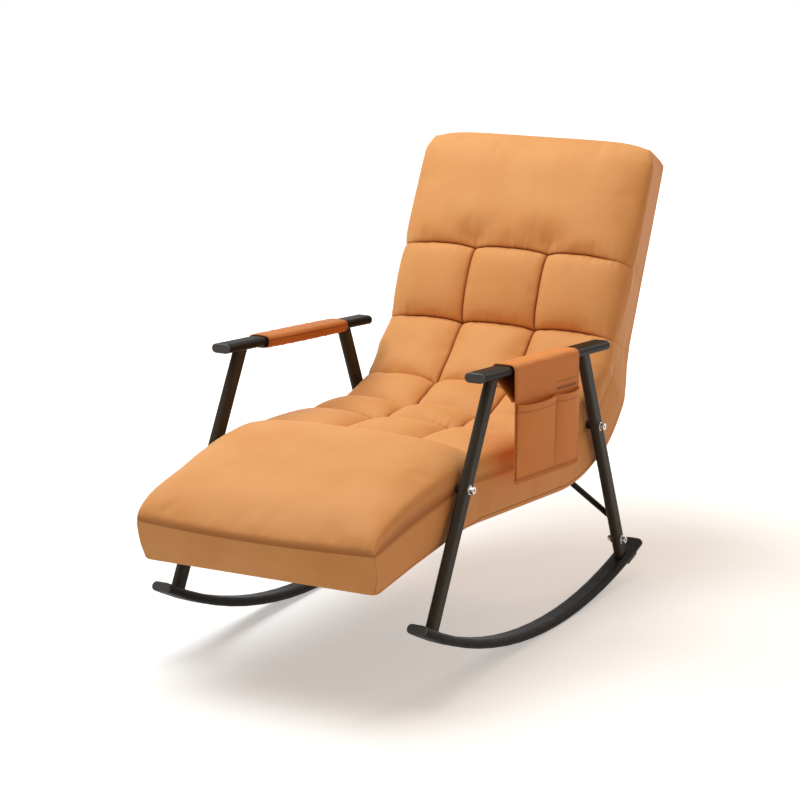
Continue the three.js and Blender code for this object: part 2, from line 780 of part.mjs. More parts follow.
function columnPillow(x, halfWidth) {
  const distance = Math.abs(x);
  if (distance < columnSeam) return pillow((1 + distance / columnSeam) / 2);
  return pillow(Math.min((distance - columnSeam) / (halfWidth - columnSeam), 1 / 2));
}

// One half of the outline at a station, from the middle of the underside to the middle of the top,
// as distances from the middle and heights
function halfLoop(row, share) {
  const whole = row.shares !== undefined;
  const swell = whole ? pillow(share, longPillowPower, longPillowRoundPower) : pillow(share);
  const halfWidth = cushionWidth / 2 - sideDrawIn * (1 - swell);
  const welt = lerp(...row.welts, share);
  const seamHeight = lerp(row.from.height, row.to.height, share);
  const weltX = halfWidth - sideDrawIn / 2;
  const reach = lerp(row.from.reach, row.to.reach, share);
  const fromFront = (reach - lineFront) / crownFrontReach;
  const fade = Math.min(fromFront, (lineRear - reach) / crownEndReach, 1);
  const crownX = weltX + crownFlare * lerp(seamFlareShare, 1, swell) * fade;
  const topHeight = (x) => {
    const column = whole ? 1 : columnPillow(x, halfWidth);
    const crown = row.rise * swell * (1 - columnDipShare * (1 - column));
    const tuft = tuftDepth * (1 - column) * (1 - swell);
    const round = Math.max(1 - (x / crownX) ** crownPower, 0) ** (1 / crownPower);
    return welt + (seamHeight + crown - tuft - welt) * round;
  };
  const topPlaces = [
    ...flankShares.map((part) => part * crownX),
    ...columnShares.map((part) => part * columnSeam),
  ];
  return [
    [0, 0],
    [halfWidth - bottomRound, 0],
    [halfWidth - bottomRound / 4, bottomRound * (3 / 4)],
    [halfWidth, welt / 2],
    [weltX, welt],
    ...topPlaces.map((x) => [x, topHeight(x)]),
  ];
}

// Leans and bows the footrest's front panel out towards its top
function frontLean(reach, x, height) {
  const nearFront = Math.max(1 - (reach - lineFront) / footrestLength, 0);
  const bow = footrestFrontBow * (1 - (2 * x / cushionWidth) ** 2) * nearFront ** 2;
  return (footrestFrontLean * nearFront + bow) * Math.min(height / footrestWelt, 1);
}

// Joins closed loops of equal count into one body with flat ends
function loft(loops) {
  const count = loops[0].length;
  const index = [];
  for (let i = 0; i < loops.length - 1; i += 1) {
    for (let j = 0; j < count; j += 1) {
      const a = i * count + j;
      const b = i * count + ((j + 1) % count);
      index.push(a, b + count, b, a, a + count, b + count);
    }
  }
  const lastStart = (loops.length - 1) * count;
  const flat = (loop) => loop.map((p) => new THREE.Vector2(p.x, p.z));
  for (const [a, b, c] of THREE.ShapeUtils.triangulateShape(flat(loops[0]), [])) index.push(a, b, c);
  for (const [a, b, c] of THREE.ShapeUtils.triangulateShape(flat(loops.at(-1)), [])) {
    index.push(lastStart + a, lastStart + c, lastStart + b);
  }
  const geometry = new THREE.BufferGeometry().setFromPoints(loops.flat());
  geometry.setIndex(index);
  return geometry;
}

function cushionForm() {
  const stations = rows.flatMap((row) => (row.shares ?? quiltShares).map((share) => (
    { reach: lerp(row.from.reach, row.to.reach, share), half: halfLoop(row, share) })));
  stations.push({ reach: lineRear, half: halfLoop(rows.at(-1), 1) });
  const drawnIn = (half, welt) => half.map(([x, height]) => (
    [x * (1 - 2 * endRound / cushionWidth), height + endRound * (1 - 2 * height / welt)]));
  const first = stations[0];
  const last = stations.at(-1);
  stations.unshift({ reach: first.reach, half: drawnIn(first.half, footrestWelt) });
  stations.push({ reach: last.reach, half: drawnIn(last.half, backWelt) });
  first.reach += endRound;
  last.reach -= endRound;
  return loft(stations.map(({ reach, half }) => {
    const other = half.slice(1, -1).reverse().map(([x, height]) => [-x, height]);
    return [...half, ...other].map(([x, height]) => {
      const spot = cushionSpot(reach - frontLean(reach, x, height), height);
      return new THREE.Vector3(x, spot.x, spot.y);
    });
  }));
}

// Parts of the side view that fall to one cushion or the next
function pie(centre, radius, from, to, steps = 10) {
  const points = [centre];
  for (let i = 0; i <= steps; i += 1) {
    points.push(along(centre, heading(lerp(from, to, i / steps)), radius));
  }
  return outline(points);
}

const sideReach = cushionWidth / 2 + crownFlare + overrun;
const allAcross = (shape) => across(shape, -sideReach, sideReach);
const footSide = (opening) => allAcross(
  pie(footHinge, regionReach, footCrease + opening, footLower + 2 * Math.PI));
const backSide = (opening) => allAcross(pie(backHinge, regionReach, backLower, backCrease + opening));
const knuckleSides = 36;
const knuckle = (spot, radius, crease) => (
  allAcross(disc(spot, radius, knuckleSides, crease + Math.PI / knuckleSides)));
const form = cushionForm();

const grown = (circles, gap) => hullOf(circles.map(([spot, radius]) => [spot, radius + gap]), 12);

// A hinge arm's sweep, from one of its limits to the other
function sweep(frame, hinge, back, on, stops = 6) {
  const [eye, [lap, radius]] = armCircles(frame, hinge);
  const swept = [eye];
  for (let i = 0; i <= stops; i += 1) {
    swept.push([lap.clone().rotateAround(hinge, lerp(-back, on, i / stops)), radius]);
  }
  return swept;
}

// Pockets in the seat's padding for the hinge plates, the arms' sweep and the struts' tabs
const seatMechanism = [
  grown([[seatFrame.at(railFront, railMiddle), railSize / 2], [frontBolt, boltEye],
    ...sweep(footFrame, footHinge, footRaise, footFold)], mechanismGap),
  grown([[rearPlateSpot, railSize / 2], [rearBolt, boltEye],
    ...sweep(backFrame, backHinge, backRecline, backForward)], mechanismGap),
  grown([[sideOf(strutTop), strutDiameter / 2],
    [along(sideOf(strutTop), strutUp, strutTabReach), strutTabEye]], mechanismGap),
];
const strutSlit = rod(strutTop, strutFoot, strutDiameter + 2 * strutSlitGap, 8);
add(chair, 'seat_cushion', cut(form,
  cut(footSide(-footCreaseWedge / 2),
    knuckle(footHinge, footKnuckle, footCrease - footCreaseWedge / 2)),
  cut(backSide(backCreaseWedge / 2),
    knuckle(backHinge, backKnuckle, backCrease + backCreaseWedge / 2)),
  seatFrame.recess(cheekInnerX),
  ...seatMechanism.flatMap((shape) => bothSides(shape, pocketInnerX, cheekInnerX)),
  ...[frontBolt, rearBolt].flatMap((spot) => (
    bothSides(disc(spot, bossDiameter / 2 + bossClearance, 8), cheekInnerX - overrun, sideReach))),
  strutSlit,
  mirrored(strutSlit),
), leather);

function hingedCushion(side, frame, hinge, round) {
  const channel = grown(armCircles(frame, hinge), mechanismGap);
  return cut(common(form, side), round, frame.recess(railOuterX + mechanismGap),
    ...bothSides(channel, pocketInnerX, cheekInnerX));
}

add(footrest, 'footrest_cushion', hingedCushion(footSide(footCreaseWedge / 2), footFrame, footHinge,
  knuckle(footHinge, footKnuckle + footKnuckleGap, footCrease + footCreaseWedge / 2)), leather);
add(backrest, 'back_cushion', hingedCushion(backSide(-backCreaseWedge / 2), backFrame, backHinge,
  knuckle(backHinge, backKnuckle + backKnuckleGap, backCrease - backCreaseWedge / 2)), leather);

// Sleeve round the right arm, loose, lying on the tube's top
const sleeveWidth = armWidth + 2 * (sleeveSideGap + clothThickness);
const sleeveInnerHeight = armThickness + seatGap + sleeveUnderGap;
const sleeveLevel = armTop + seatGap - sleeveInnerHeight / 2;
const roundSleeveArm = (points) => outline(points.map((p) => p.add(point(-sideX, sleeveLevel))));
const sleeveSection = roundSleeveArm(flatOval(sleeveWidth, sleeveInnerHeight + 2 * clothThickness));
sleeveSection.holes.push(
  roundSleeveArm(flatOval(sleeveWidth - 2 * clothThickness, sleeveInnerHeight)));
add(chair, 'arm_sleeve', lengthwise(sleeveSection, sleeveFront, sleeveRear), leather);

// Pocket organiser: a loop round the left arm whose outer panel hangs down and carries two pockets
const loopInnerX = sideX - armWidth / 2 - organiserGap;
const panelInnerX = sideX + armWidth / 2 + organiserGap;
const panelOuterX = panelInnerX + clothThickness;
const loopTop = armTop + seatGap;
const loopJoin = armTop - organiserJoin;
const hem = armTop - organiserDrop;
const organiserSection = outline([
  point(panelInnerX, hem),
  point(panelOuterX, hem),
  point(panelOuterX, loopTop + clothThickness - organiserRound),
  point(panelOuterX - organiserRound, loopTop + clothThickness),
  point(loopInnerX - clothThickness + organiserRound, loopTop + clothThickness),
  point(loopInnerX - clothThickness, loopTop + clothThickness - organiserRound),
  point(loopInnerX - clothThickness, armUnder),
  point(panelInnerX - clothThickness / 2, loopJoin - clothThickness),
  point(panelInnerX, loopJoin - 2 * clothThickness),
]);
organiserSection.holes.push(outline([
  point(panelInnerX, loopTop - organiserRound / 2),
  point(panelInnerX - organiserRound / 2, loopTop),
  point(loopInnerX + organiserRound / 2, loopTop),
  point(loopInnerX, loopTop - organiserRound / 2),
  point(loopInnerX, armUnder + seatGap),
  point(panelInnerX - clothThickness / 2, loopJoin + clothThickness),
  point(panelInnerX, loopJoin + clothThickness),
]));

// A pocket swells out of the panel; shares of its depth along its width and up its height
const pocketAlongShares = [[0, 0.12], [0.05, 0.5], [0.15, 0.8], [0.35, 0.97], [0.65, 0.97], [0.85, 0.8],
  [0.95, 0.5], [1, 0.12]];
const pocketUpShares = [[0, 0.4], [0.05, 0.72], [0.2, 0.95], [0.5, 1], [0.8, 0.95], [1, 0.88]];

function pocketBody(from, to, low, high, rootX, depth) {
  return loft(pocketAlongShares.map(([place, swell]) => {
    const y = lerp(from, to, place);
    const skin = pocketUpShares.map(([rise, bulge]) => (
      new THREE.Vector3(panelOuterX + depth * swell * bulge, y, lerp(low, high, rise))));
    return [new THREE.Vector3(rootX, y, low), ...skin, new THREE.Vector3(rootX, y, high)];
  }));
}

function pocket(from, to, depth) {
  const low = hem + pocketHem;
  const mouth = armTop - pocketMouthDrop;
  const outer = pocketBody(from, to, low, mouth, panelOuterX - clothThickness / 2, depth);
  const inner = pocketBody(from + 2 * pocketWall, to - 2 * pocketWall, low + pocketWall, mouth + overrun,
    panelOuterX, depth - pocketWall);
  return cut(outer, inner);
}

add(chair, 'arm_organiser', fuse(
  lengthwise(organiserSection, organiserFront, organiserRear),
  pocket(organiserFront, pocketDivider - pocketDividerGap, frontPocketDepth),
  pocket(pocketDivider + pocketDividerGap, organiserRear, rearPocketDepth),
), organiserLeather);

// Rocks the chair back about the arc's centre, sets its lowest facet on the floor and puts the middle
// of its length over the origin
const facetDrop = runnerRadius * (1 - Math.cos(runnerFacet / 2));
chair.rotation.x = -restTilt;
const lean = new THREE.Vector3(0, arcCentre.x, arcCentre.y).applyEuler(chair.rotation);
chair.position.set(0, -lean.y, runnerRadius - facetDrop - lean.z);
chair.updateMatrixWorld(true);
const extent = new THREE.Box3().setFromObject(chair, true);
chair.position.y -= (extent.min.y + extent.max.y) / 2;

export default chair;
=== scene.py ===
"""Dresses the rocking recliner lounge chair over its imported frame.

The chair is laid out with its arms level, in millimetres, as its frame is, and then leaned back
into the row frame in metres. Two upholstery covers carry the quilting: one runs from the footrest
into the seat, the other from the seat up the back.
"""

from __future__ import annotations

import json
import logging
import math
from dataclasses import dataclass, field
from enum import Enum
from typing import Iterable, Sequence

import bpy
import numpy as np
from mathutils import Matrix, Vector

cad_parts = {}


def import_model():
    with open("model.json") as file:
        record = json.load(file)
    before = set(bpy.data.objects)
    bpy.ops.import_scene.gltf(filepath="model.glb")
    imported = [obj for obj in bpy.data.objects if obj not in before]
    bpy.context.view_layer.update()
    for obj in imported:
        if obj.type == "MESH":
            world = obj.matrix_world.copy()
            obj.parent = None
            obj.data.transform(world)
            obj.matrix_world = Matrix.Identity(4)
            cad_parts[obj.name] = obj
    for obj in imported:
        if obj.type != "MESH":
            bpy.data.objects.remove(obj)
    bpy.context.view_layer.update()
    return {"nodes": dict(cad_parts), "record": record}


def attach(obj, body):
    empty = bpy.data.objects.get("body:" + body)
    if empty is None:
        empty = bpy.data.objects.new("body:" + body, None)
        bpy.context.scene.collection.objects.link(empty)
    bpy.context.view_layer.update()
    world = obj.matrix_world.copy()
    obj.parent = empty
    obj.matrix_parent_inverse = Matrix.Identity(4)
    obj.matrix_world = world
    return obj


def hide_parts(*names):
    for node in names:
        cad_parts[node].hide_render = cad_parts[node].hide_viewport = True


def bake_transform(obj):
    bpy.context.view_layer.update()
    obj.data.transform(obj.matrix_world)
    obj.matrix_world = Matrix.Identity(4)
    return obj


Array = np.ndarray
Faces = list[Sequence[int]]
Material = bpy.types.Material
Node = bpy.types.ShaderNode
Piece = bpy.types.Object
Socket = bpy.types.NodeSocket

LOG = logging.getLogger("rocking_recliner")
MM = 0.001
IMAGE_SIDE = 800
CAMERA_TARGET = (0.0, -90.16, 472.41)  # levelled place at the photograph's middle, in millimetres
MIX_FIRST, MIX_SECOND, MIX_RESULT = 6, 7, 2  # a mix node's sockets for colour
UNDER_POINTS, SIDE_POINTS, EDGE_POINT = 7, 13, 3  # of half a cover's section; the edge is on its side
WHITE = (1.0, 1.0, 1.0, 1.0)


class Body(str, Enum):
    """The rigid bodies of the chair."""

    CHAIR = "chair"
    BACK = "backrest"
    FOOT = "footrest"


def linear(code: str) -> tuple[float, float, float, float]:
    """Turns an sRGB hex colour into linear light.

    Args:
        code: The colour as "#rrggbb".

    Returns:
        Red, green, blue and full opacity, in linear light.
    """
    parts = [int(code[i : i + 2], 16) / 255 for i in (1, 3, 5)]
    red, green, blue = (p / 12.92 if p <= 0.04045 else ((p + 0.055) / 1.055) ** 2.4 for p in parts)
    return red, green, blue, 1.0


def feed(node: Node, links: dict[str | int, Socket]) -> None:
    """Links sockets to a node's inputs, given by name or number."""
    for key, socket in links.items():
        node.id_data.links.new(socket, node.inputs[key])


def add_node(
    owner: Material | bpy.types.World,
    kind: str,
    settings: dict[str | int, object] | None = None,
    links: dict[str | int, Socket] | None = None,
) -> Node:
    """Adds a shader node with its settings and links.

    Args:
        owner: What gets the node.
        kind: The node's type, without its "ShaderNode".
        settings: Values by input name or number, or by attribute name where no input has it.
        links: Sockets that feed inputs, by input name or number.

    Returns:
        The new node.
    """
    node = owner.node_tree.nodes.new("ShaderNode" + kind)
    for key, value in (settings or {}).items():
        if isinstance(key, str) and hasattr(node, key) and key not in node.inputs:
            setattr(node, key, value)
        else:
            node.inputs[key].default_value = value
    feed(node, links or {})
    return node


def blank_material(name: str, settings: dict[str, object]) -> tuple[Material, Node]:
    """Makes a material that holds only its principled shader and output.

    Args:
        name: The material's name.
        settings: The shader's values by input name.

    Returns:
        The material and its shader.
    """
    made = bpy.data.materials.new(name)
    made.use_nodes = True
    made.node_tree.nodes.clear()
    shader = add_node(made, "BsdfPrincipled", settings)
    add_node(made, "OutputMaterial", links={"Surface": shader.outputs["BSDF"]})
    return made, shader


def object_point(owner: Material) -> Socket:
    """Gives a point's place on its piece, in metres."""
    return add_node(owner, "TexCoord").outputs["Object"]


def mesh_mark(owner: Material, name: str) -> Socket:
    """Gives one of the values that a mesh holds by vertex."""
    return add_node(owner, "Attribute", {"attribute_name": name}).outputs["Fac"]


def maths(owner: Material | bpy.types.World, operation: str, first: Socket, second: Socket) -> Socket:
    """Gives what an operation makes of two sockets."""
    return add_node(owner, "Math", {"operation": operation}, {0: first, 1: second}).outputs["Value"]


def ranged(owner: Material, value: Socket, **limits: float) -> Socket:
    """Maps a value to another range, whose limits are named as the node names them."""
    settings = {name.replace("_", " ").title(): limit for name, limit in limits.items()}
    return add_node(owner, "MapRange", settings, {"Value": value}).outputs["Result"]


def noise(owner: Material, place: Socket, size_mm: float, detail: float, rough: float = 0.5) -> Socket:
    """Gives soft noise from 0 to 1, in patches of about a real size."""
    settings = {"Scale": 1 / (size_mm * MM), "Detail": detail, "Roughness": rough}
    return add_node(owner, "TexNoise", settings, {"Vector": place}).outputs["Fac"]


def bands(owner: Material, place: Socket, scale: float, **settings: object) -> Socket:
    """Gives waves from 0 to 1 that run along an axis or in rings."""
    return add_node(owner, "TexWave", {"Scale": scale, **settings}, {"Vector": place}).outputs["Fac"]


def mixed(owner: Material, share: Socket, first: str | Socket, second: str) -> Socket:
    """Mixes two colours.

    Args:
        owner: The material.
        share: How much of the second is in the mix.
        first: A colour as hex, or the socket that gives it.
        second: A colour as hex.

    Returns:
        The mixed colour.
    """
    settings, links = {"data_type": "RGBA", MIX_SECOND: linear(second)}, {"Factor": share}
    if isinstance(first, str):
        settings[MIX_FIRST] = linear(first)
    else:
        links[MIX_FIRST] = first
    return add_node(owner, "Mix", settings, links).outputs[MIX_RESULT]


def link_bump(owner: Material, shader: Node, layers: Sequence[tuple[Socket, float]]) -> None:
    """Stacks bump layers onto a shader's normal.

    Args:
        owner: The material.
        shader: Its principled shader.
        layers: Height sockets, each with the relief in millimetres of a full step.
    """
    links: dict[str | int, Socket] = {}
    for height, relief in layers:
        bump = add_node(
            owner, "Bump", {"Strength": 1.0, "Distance": relief * MM}, {"Height": height, **links}
        )
        links = {"Normal": bump.outputs["Normal"]}
    feed(shader, links)


@dataclass(frozen=True)
class SoftLeatherette:
    """Polyurethane-coated upholstery cloth, embossed with a fine pebble grain.

    The coating gives the eye a satin, slightly waxy surface with broad, weak highlights. The fold colour
    is painted shade: it darkens the creases where the cloth is pinched into a seam. The grain is drawn
    at 1.1 mm, coarser than the real 0.5 mm, which would turn to noise at this distance.
    """

    name: str
    colour: str
    shade: str
    # fold is the colour of the painted shade in the creases at the seams.
    fold: str
    roughness: float = 0.52
    slack_relief_mm: float = 0.5
    gloss: float = 0.14
    grain_mm: float = 1.1
    grain_relief_mm: float = 0.05
    mottle_mm: float = 90.0
    slack_mm: float = 34.0
    pucker_mm: float = 17.0
    pucker_relief_mm: float = 1.0

    def material(self) -> Material:
        """Builds the leatherette.

        Returns:
            The material.
        """
        made, shader = blank_material(self.name, {"IOR": 1.46, "Specular IOR Level": self.gloss})
        place = object_point(made)
        mottle = noise(made, place, self.mottle_mm, 2.0)
        body = mixed(made, ranged(made, mottle, from_min=0.3, from_max=0.6), self.shade, self.colour)
        gloss = ranged(made, mottle, to_min=self.roughness - 0.05, to_max=self.roughness + 0.07)
        # Painted shade: the seam_shade mark mixes in the fold colour, darkening the creases at the
        # seams.
        folded = mixed(made, mesh_mark(made, "seam_shade"), body, self.fold)
        feed(shader, {"Base Color": folded, "Roughness": gloss})
        grain = add_node(made, "TexVoronoi", {"Scale": 1 / (self.grain_mm * MM)}, {"Vector": place})
        slack = noise(made, place, self.slack_mm, 3.0, 0.45)
        puckers = bands(made, place, math.pi / 10 / (self.pucker_mm * MM), Distortion=3.0)
        gathers = maths(made, "MULTIPLY", puckers, mesh_mark(made, "fold"))
        layers = [(slack, self.slack_relief_mm), (gathers, self.pucker_relief_mm)]
        link_bump(made, shader, [*layers, (grain.outputs["Distance"], self.grain_relief_mm)])
        return made


@dataclass(frozen=True)
class PowderCoat:
    """Steel tube under a baked powder coat, with the coat's faint orange peel.

    It looks near black and satin, with long soft highlights along the tube's flats and a slightly
    browner tone where the coat is thin.
    """

    name: str
    colour: str
    thin: str
    roughness: float
    gloss: float = 0.07
    patch_mm: float = 1000 / 9
    peel_mm: float = 1.4
    peel_relief_mm: float = 0.035

    def material(self) -> Material:
        """Builds the coated steel.

        Returns:
            The material.
        """
        made, shader = blank_material(self.name, {"Specular IOR Level": self.gloss})
        place = object_point(made)
        patch = noise(made, place, self.patch_mm, 2.0)
        gloss = ranged(made, patch, to_min=self.roughness - 0.05, to_max=self.roughness + 0.06)
        feed(shader, {"Base Color": mixed(made, patch, self.colour, self.thin), "Roughness": gloss})
        link_bump(made, shader, [(noise(made, place, self.peel_mm, 1.0), self.peel_relief_mm)])
        return made


@dataclass(frozen=True)
class TurnedSteel:
    """Zinc-plated steel, turned on a lathe: bright, with fine turning marks that spread highlights.

    The marks are drawn at 0.6 mm, coarser than the real 0.1 mm, which would turn to noise.
    """

    name: str
    colour: str
    roughness: float
    patch_mm: float = 1000 / 220
    mark_mm: float = 0.6
    mark_relief_mm: float = 0.012

    def material(self) -> Material:
        """Builds the plated steel.

        Returns:
            The material.
        """
        made, shader = blank_material(self.name, {"Base Color": linear(self.colour), "Metallic": 1.0})
        place = object_point(made)
        patch = noise(made, place, self.patch_mm, 2.0)
        gloss = ranged(made, patch, to_min=self.roughness - 0.06, to_max=self.roughness + 0.1)
        feed(shader, {"Roughness": gloss})
        scale = 1 / (self.mark_mm * MM) / math.tau
        marks = bands(made, place, scale, wave_type="RINGS", rings_direction="X")
        link_bump(made, shader, [(marks, self.mark_relief_mm)])
        return made


@dataclass(frozen=True)
class MouldedRubber:
    """Moulded rubber or soft plastic, as caps and stops are: dark, matt, with a spark-eroded texture."""

    name: str
    colour: str
    roughness: float = 0.62
    texture_mm: float = 0.8
    texture_relief_mm: float = 0.04

    def material(self) -> Material:
        """Builds the moulded rubber.

        Returns:
            The material.
        """
        settings = {"Base Color": linear(self.colour), "Roughness": self.roughness}
        made, shader = blank_material(self.name, settings)
        grit = noise(made, object_point(made), self.texture_mm, 3.0)
        link_bump(made, shader, [(grit, self.texture_relief_mm)])
        return made


@dataclass(frozen=True)
class WovenStrap:
    """Woven polypropylene webbing or spun cloth: matt, crossed by two sets of threads."""

    name: str
    colour: str
    gap: str
    thread_mm: float
    relief_mm: float

    def material(self) -> Material:
        """Builds the weave from two crossed sets of bands.

        Returns:
            The material.
        """
        made, shader = blank_material(self.name, {"Roughness": 0.9})
        place, scale = object_point(made), 1 / (self.thread_mm * MM) / math.pi
        warp, weft = (
            bands(made, place, scale, bands_direction=way, Distortion=0.4) for way in ("X", "Y")
        )
        weave = maths(made, "MULTIPLY", warp, weft)
        feed(shader, {"Base Color": mixed(made, weave, self.gap, self.colour)})
        link_bump(made, shader, [(weave, self.relief_mm)])
        return made


# The third colour of each leatherette is the painted shade that darkens its seam creases.
UPHOLSTERY = SoftLeatherette("upholstery_leatherette", "#e6a76b", "#e2a063", "#8a4018")
ORGANISER_LEATHERETTE = SoftLeatherette(
    "organiser_leatherette", "#e39252", "#dd8c4c", "#74381a", roughness=0.56, slack_relief_mm=0.25
)
SLEEVE_LEATHERETTE = SoftLeatherette(
    "sleeve_leatherette", "#c8793c", "#c17336", "#863f18", roughness=0.5, slack_relief_mm=0.4
)
BLACK_FRAME = PowderCoat("frame_powder_coat", "#130f0b", "#1c1610", 0.45)
# Painted light: the legs get a lighter copy of the frame's coat, standing for the front light that falls
# on them.
LEG_FRAME_PAINTED_LIGHT = PowderCoat("leg_powder_coat_painted_light", "#37332e", "#423d37", 0.42)
INNER_FRAME = PowderCoat("inner_frame_powder_coat", "#2f2b27", "#37332e", 0.5, gloss=0.1)
BRIGHT_STEEL = TurnedSteel("plated_steel", "#c9c8c4", 0.26)
BLACK_RUBBER = MouldedRubber("black_rubber", "#1d1c1b")
CAP_PLASTIC = MouldedRubber("cap_plastic", "#2d2b29", roughness=0.5)
WEBBING = WovenStrap("seat_webbing", "#2d2d2f", "#121213", 2.4, 0.4)
UNDER_CLOTH = WovenStrap("spun_under_cloth", "#2b2825", "#1a1816", 1.6, 0.15)

# Which carried-over node gets which finish: the first line with a word that is in its name holds.
NODE_FINISHES = (
    (("runner_stop",), BLACK_RUBBER),
    (("_cap_",), CAP_PLASTIC),
    (("bolt", "nut", "pin"), BRIGHT_STEEL),
    (("web",), WEBBING),
    (("_cover",), UNDER_CLOTH),
    (("rail", "cross_tube", "side_tube"), INNER_FRAME),
    (("leg",), LEG_FRAME_PAINTED_LIGHT),
    (("",), BLACK_FRAME),
)


@dataclass
class RestPose:
    """Leans the levelled chair back about the runners' arc until it stands as it does at rest."""

    tilt_deg: float = 4.1
    shift: Array = field(default_factory=lambda: np.zeros(3))

    def turned(self, points: Array) -> Array:
        """Turns levelled points about the X axis.

        Args:
            points: Rows of x, y, z in millimetres.

        Returns:
            The turned points, in millimetres.
        """
        angle = -math.radians(self.tilt_deg)
        cos, sin = math.cos(angle), math.sin(angle)
        x, y, z = points[..., 0], points[..., 1], points[..., 2]
        return np.stack([x, y * cos - z * sin, y * sin + z * cos], axis=-1)

    def row(self, points: Array) -> Array:
        """Takes levelled points in millimetres to the row frame in metres."""
        return self.turned(np.asarray(points, dtype=float)) * MM + self.shift

    def point(self, x: float, y: float, z: float) -> tuple[float, float, float]:
        """Takes one levelled place in millimetres to the row frame in metres."""
        return tuple(float(v) for v in self.row(np.array([x, y, z])))


@dataclass(frozen=True)
class CushionLine:
    """The cushion's underside seen from the side: footrest, kink, seat, bend and back as one run.

    A reach is a distance along it from the bend's start, less than 0 towards the front.
    """

    underside: float = 275.0
    bend_start: float = 137.0
    bend_radius: float = 385.0
    back_lean_deg: float = 20.4
    back_rise: float = 453.0
    kink_reach: float = 435.0
    kink_radius: float = 80.0
    footrest_drop_deg: float = 12.5
    footrest_length: float = 332.0
    foot_hinge_reach: float = 19.0
    foot_hinge_height: float = 51.0
    back_hinge_turn_deg: float = 39.5
    back_hinge_height: float = 56.0

    @property
    def bend_length(self) -> float:
        """Gives the length of the bend."""
        return self.bend_radius * math.radians(90 - self.back_lean_deg)

    @property
    def kink_length(self) -> float:
        """Gives the length of the kink's round."""
        return self.kink_radius * math.radians(self.footrest_drop_deg)

    @property
    def front(self) -> float:
        """Gives the reach of the footrest's front edge."""
        return -(self.kink_reach + self.kink_length + self.footrest_length)

    @property
    def rear(self) -> float:
        """Gives the reach of the back's top edge."""
        return self.bend_length + self.back_rise

    @property
    def foot_reach(self) -> float:
        """Gives the reach of the footrest's hinge."""
        return -(self.kink_reach + self.kink_length + self.foot_hinge_reach)

    def turn(self, reach: Array) -> Array:
        """Gives the underside's direction.

        Args:
            reach: Distances along the underside.

        Returns:
            Angles from level, in radians.
        """
        up = np.clip(reach, 0, self.bend_length) / self.bend_radius
        down = np.clip(-reach - self.kink_reach, 0, self.kink_length) / self.kink_radius
        return np.where(reach > 0, up, down)

    def spot(self, reach: Array | float, height: Array | float) -> tuple[Array, Array]:
        """Gives places square to the underside.

        Args:
            reach: Distances along the underside.
            height: Heights above it.

        Returns:
            The levelled y and z, in millimetres.
        """
        reach, height = np.broadcast_arrays(np.asarray(reach, float), np.asarray(height, float))
        turn = self.turn(reach)
        cos, sin = np.cos(turn), np.sin(turn)
        level = np.clip(reach, -self.kink_reach, 0)
        radius = np.where(reach >= 0, self.bend_radius, -self.kink_radius)
        beyond = np.maximum(reach - self.bend_length, 0)
        beyond += np.minimum(reach + self.kink_reach + self.kink_length, 0)
        y = self.bend_start + level + radius * sin + beyond * cos
        z = self.underside + radius * (1 - cos) + beyond * sin
        return y - height * sin, z + height * cos

    def foot_hinge(self) -> tuple[float, float]:
        """Gives the footrest hinge's levelled y and z."""
        y, z = self.spot(self.foot_reach, self.foot_hinge_height)
        return float(y), float(z)

    def back_hinge(self) -> tuple[float, float]:
        """Gives the back hinge's levelled y and z."""
        reach = self.bend_radius * math.radians(self.back_hinge_turn_deg)
        y, z = self.spot(reach, self.back_hinge_height)
        return float(y), float(z)


def tagged_mesh(
    name: str,
    points: Array,
    faces: Iterable[Sequence[int]],
    material: Material,
    marks: dict[str, Array] | None = None,
    smooth: bool = True,
) -> Piece:
    """Makes a mesh object from row-frame points.

    Args:
        name: The piece's name.
        points: Rows of x, y, z in metres.
        faces: Corner numbers of each face.
        material: The piece's material.
        marks: Values by vertex that its material or a modifier reads, by attribute name.
        smooth: Whether its faces are shaded smooth.

    Returns:
        The new object, linked to the scene.
    """
    mesh = bpy.data.meshes.new(name)
    mesh.from_pydata([tuple(p) for p in points], [], [tuple(f) for f in faces])
    mesh.update()
    if smooth:
        mesh.shade_smooth()
    for mark, values in (marks or {}).items():
        layer = mesh.attributes.new(mark, "FLOAT", "POINT")
        layer.data.foreach_set("value", np.asarray(values, dtype=np.float32))
    mesh.materials.append(material)
    piece = bpy.data.objects.new(name, mesh)
    bpy.context.scene.collection.objects.link(piece)
    return piece


def vertex_places(mesh: bpy.types.Mesh) -> Array:
    """Reads where a mesh's vertices are.

    Args:
        mesh: The mesh.

    Returns:
        Rows of x, y, z in metres.
    """
    places = np.empty(len(mesh.vertices) * 3)
    mesh.vertices.foreach_get("co", places)
    return places.reshape(-1, 3)


def apply_modifiers(piece: Piece) -> None:
    """Replaces a piece's mesh by what its modifiers make of it.

    Args:
        piece: The piece to settle.
    """
    graph = bpy.context.evaluated_depsgraph_get()
    made = bpy.data.meshes.new_from_object(piece.evaluated_get(graph), depsgraph=graph)
    old = piece.data
    piece.modifiers.clear()
    piece.data = made
    made.name = old.name
    bpy.data.meshes.remove(old)


def ease(share: Array | float) -> Array | float:
    """Rounds off both ends of a share that runs from 0 to 1."""
    return share * share * (3 - 2 * share)


def ridge(distance: Array | float, width: float) -> Array | float:
    """Gives 1 at no distance, falling softly away on both sides."""
    return np.exp(-((distance / width) ** 2))


def fading(distance: Array | float, width: float) -> Array | float:
    """Gives 1 at no distance, dying away behind it."""
    return np.exp(-distance / width)


def crowded_ends(count: int) -> Array:
    """Gives shares from 0 to 1 that lie closer together at both ends."""
    return 0.5 * (1 - np.cos(np.pi * np.linspace(0, 1, count)))


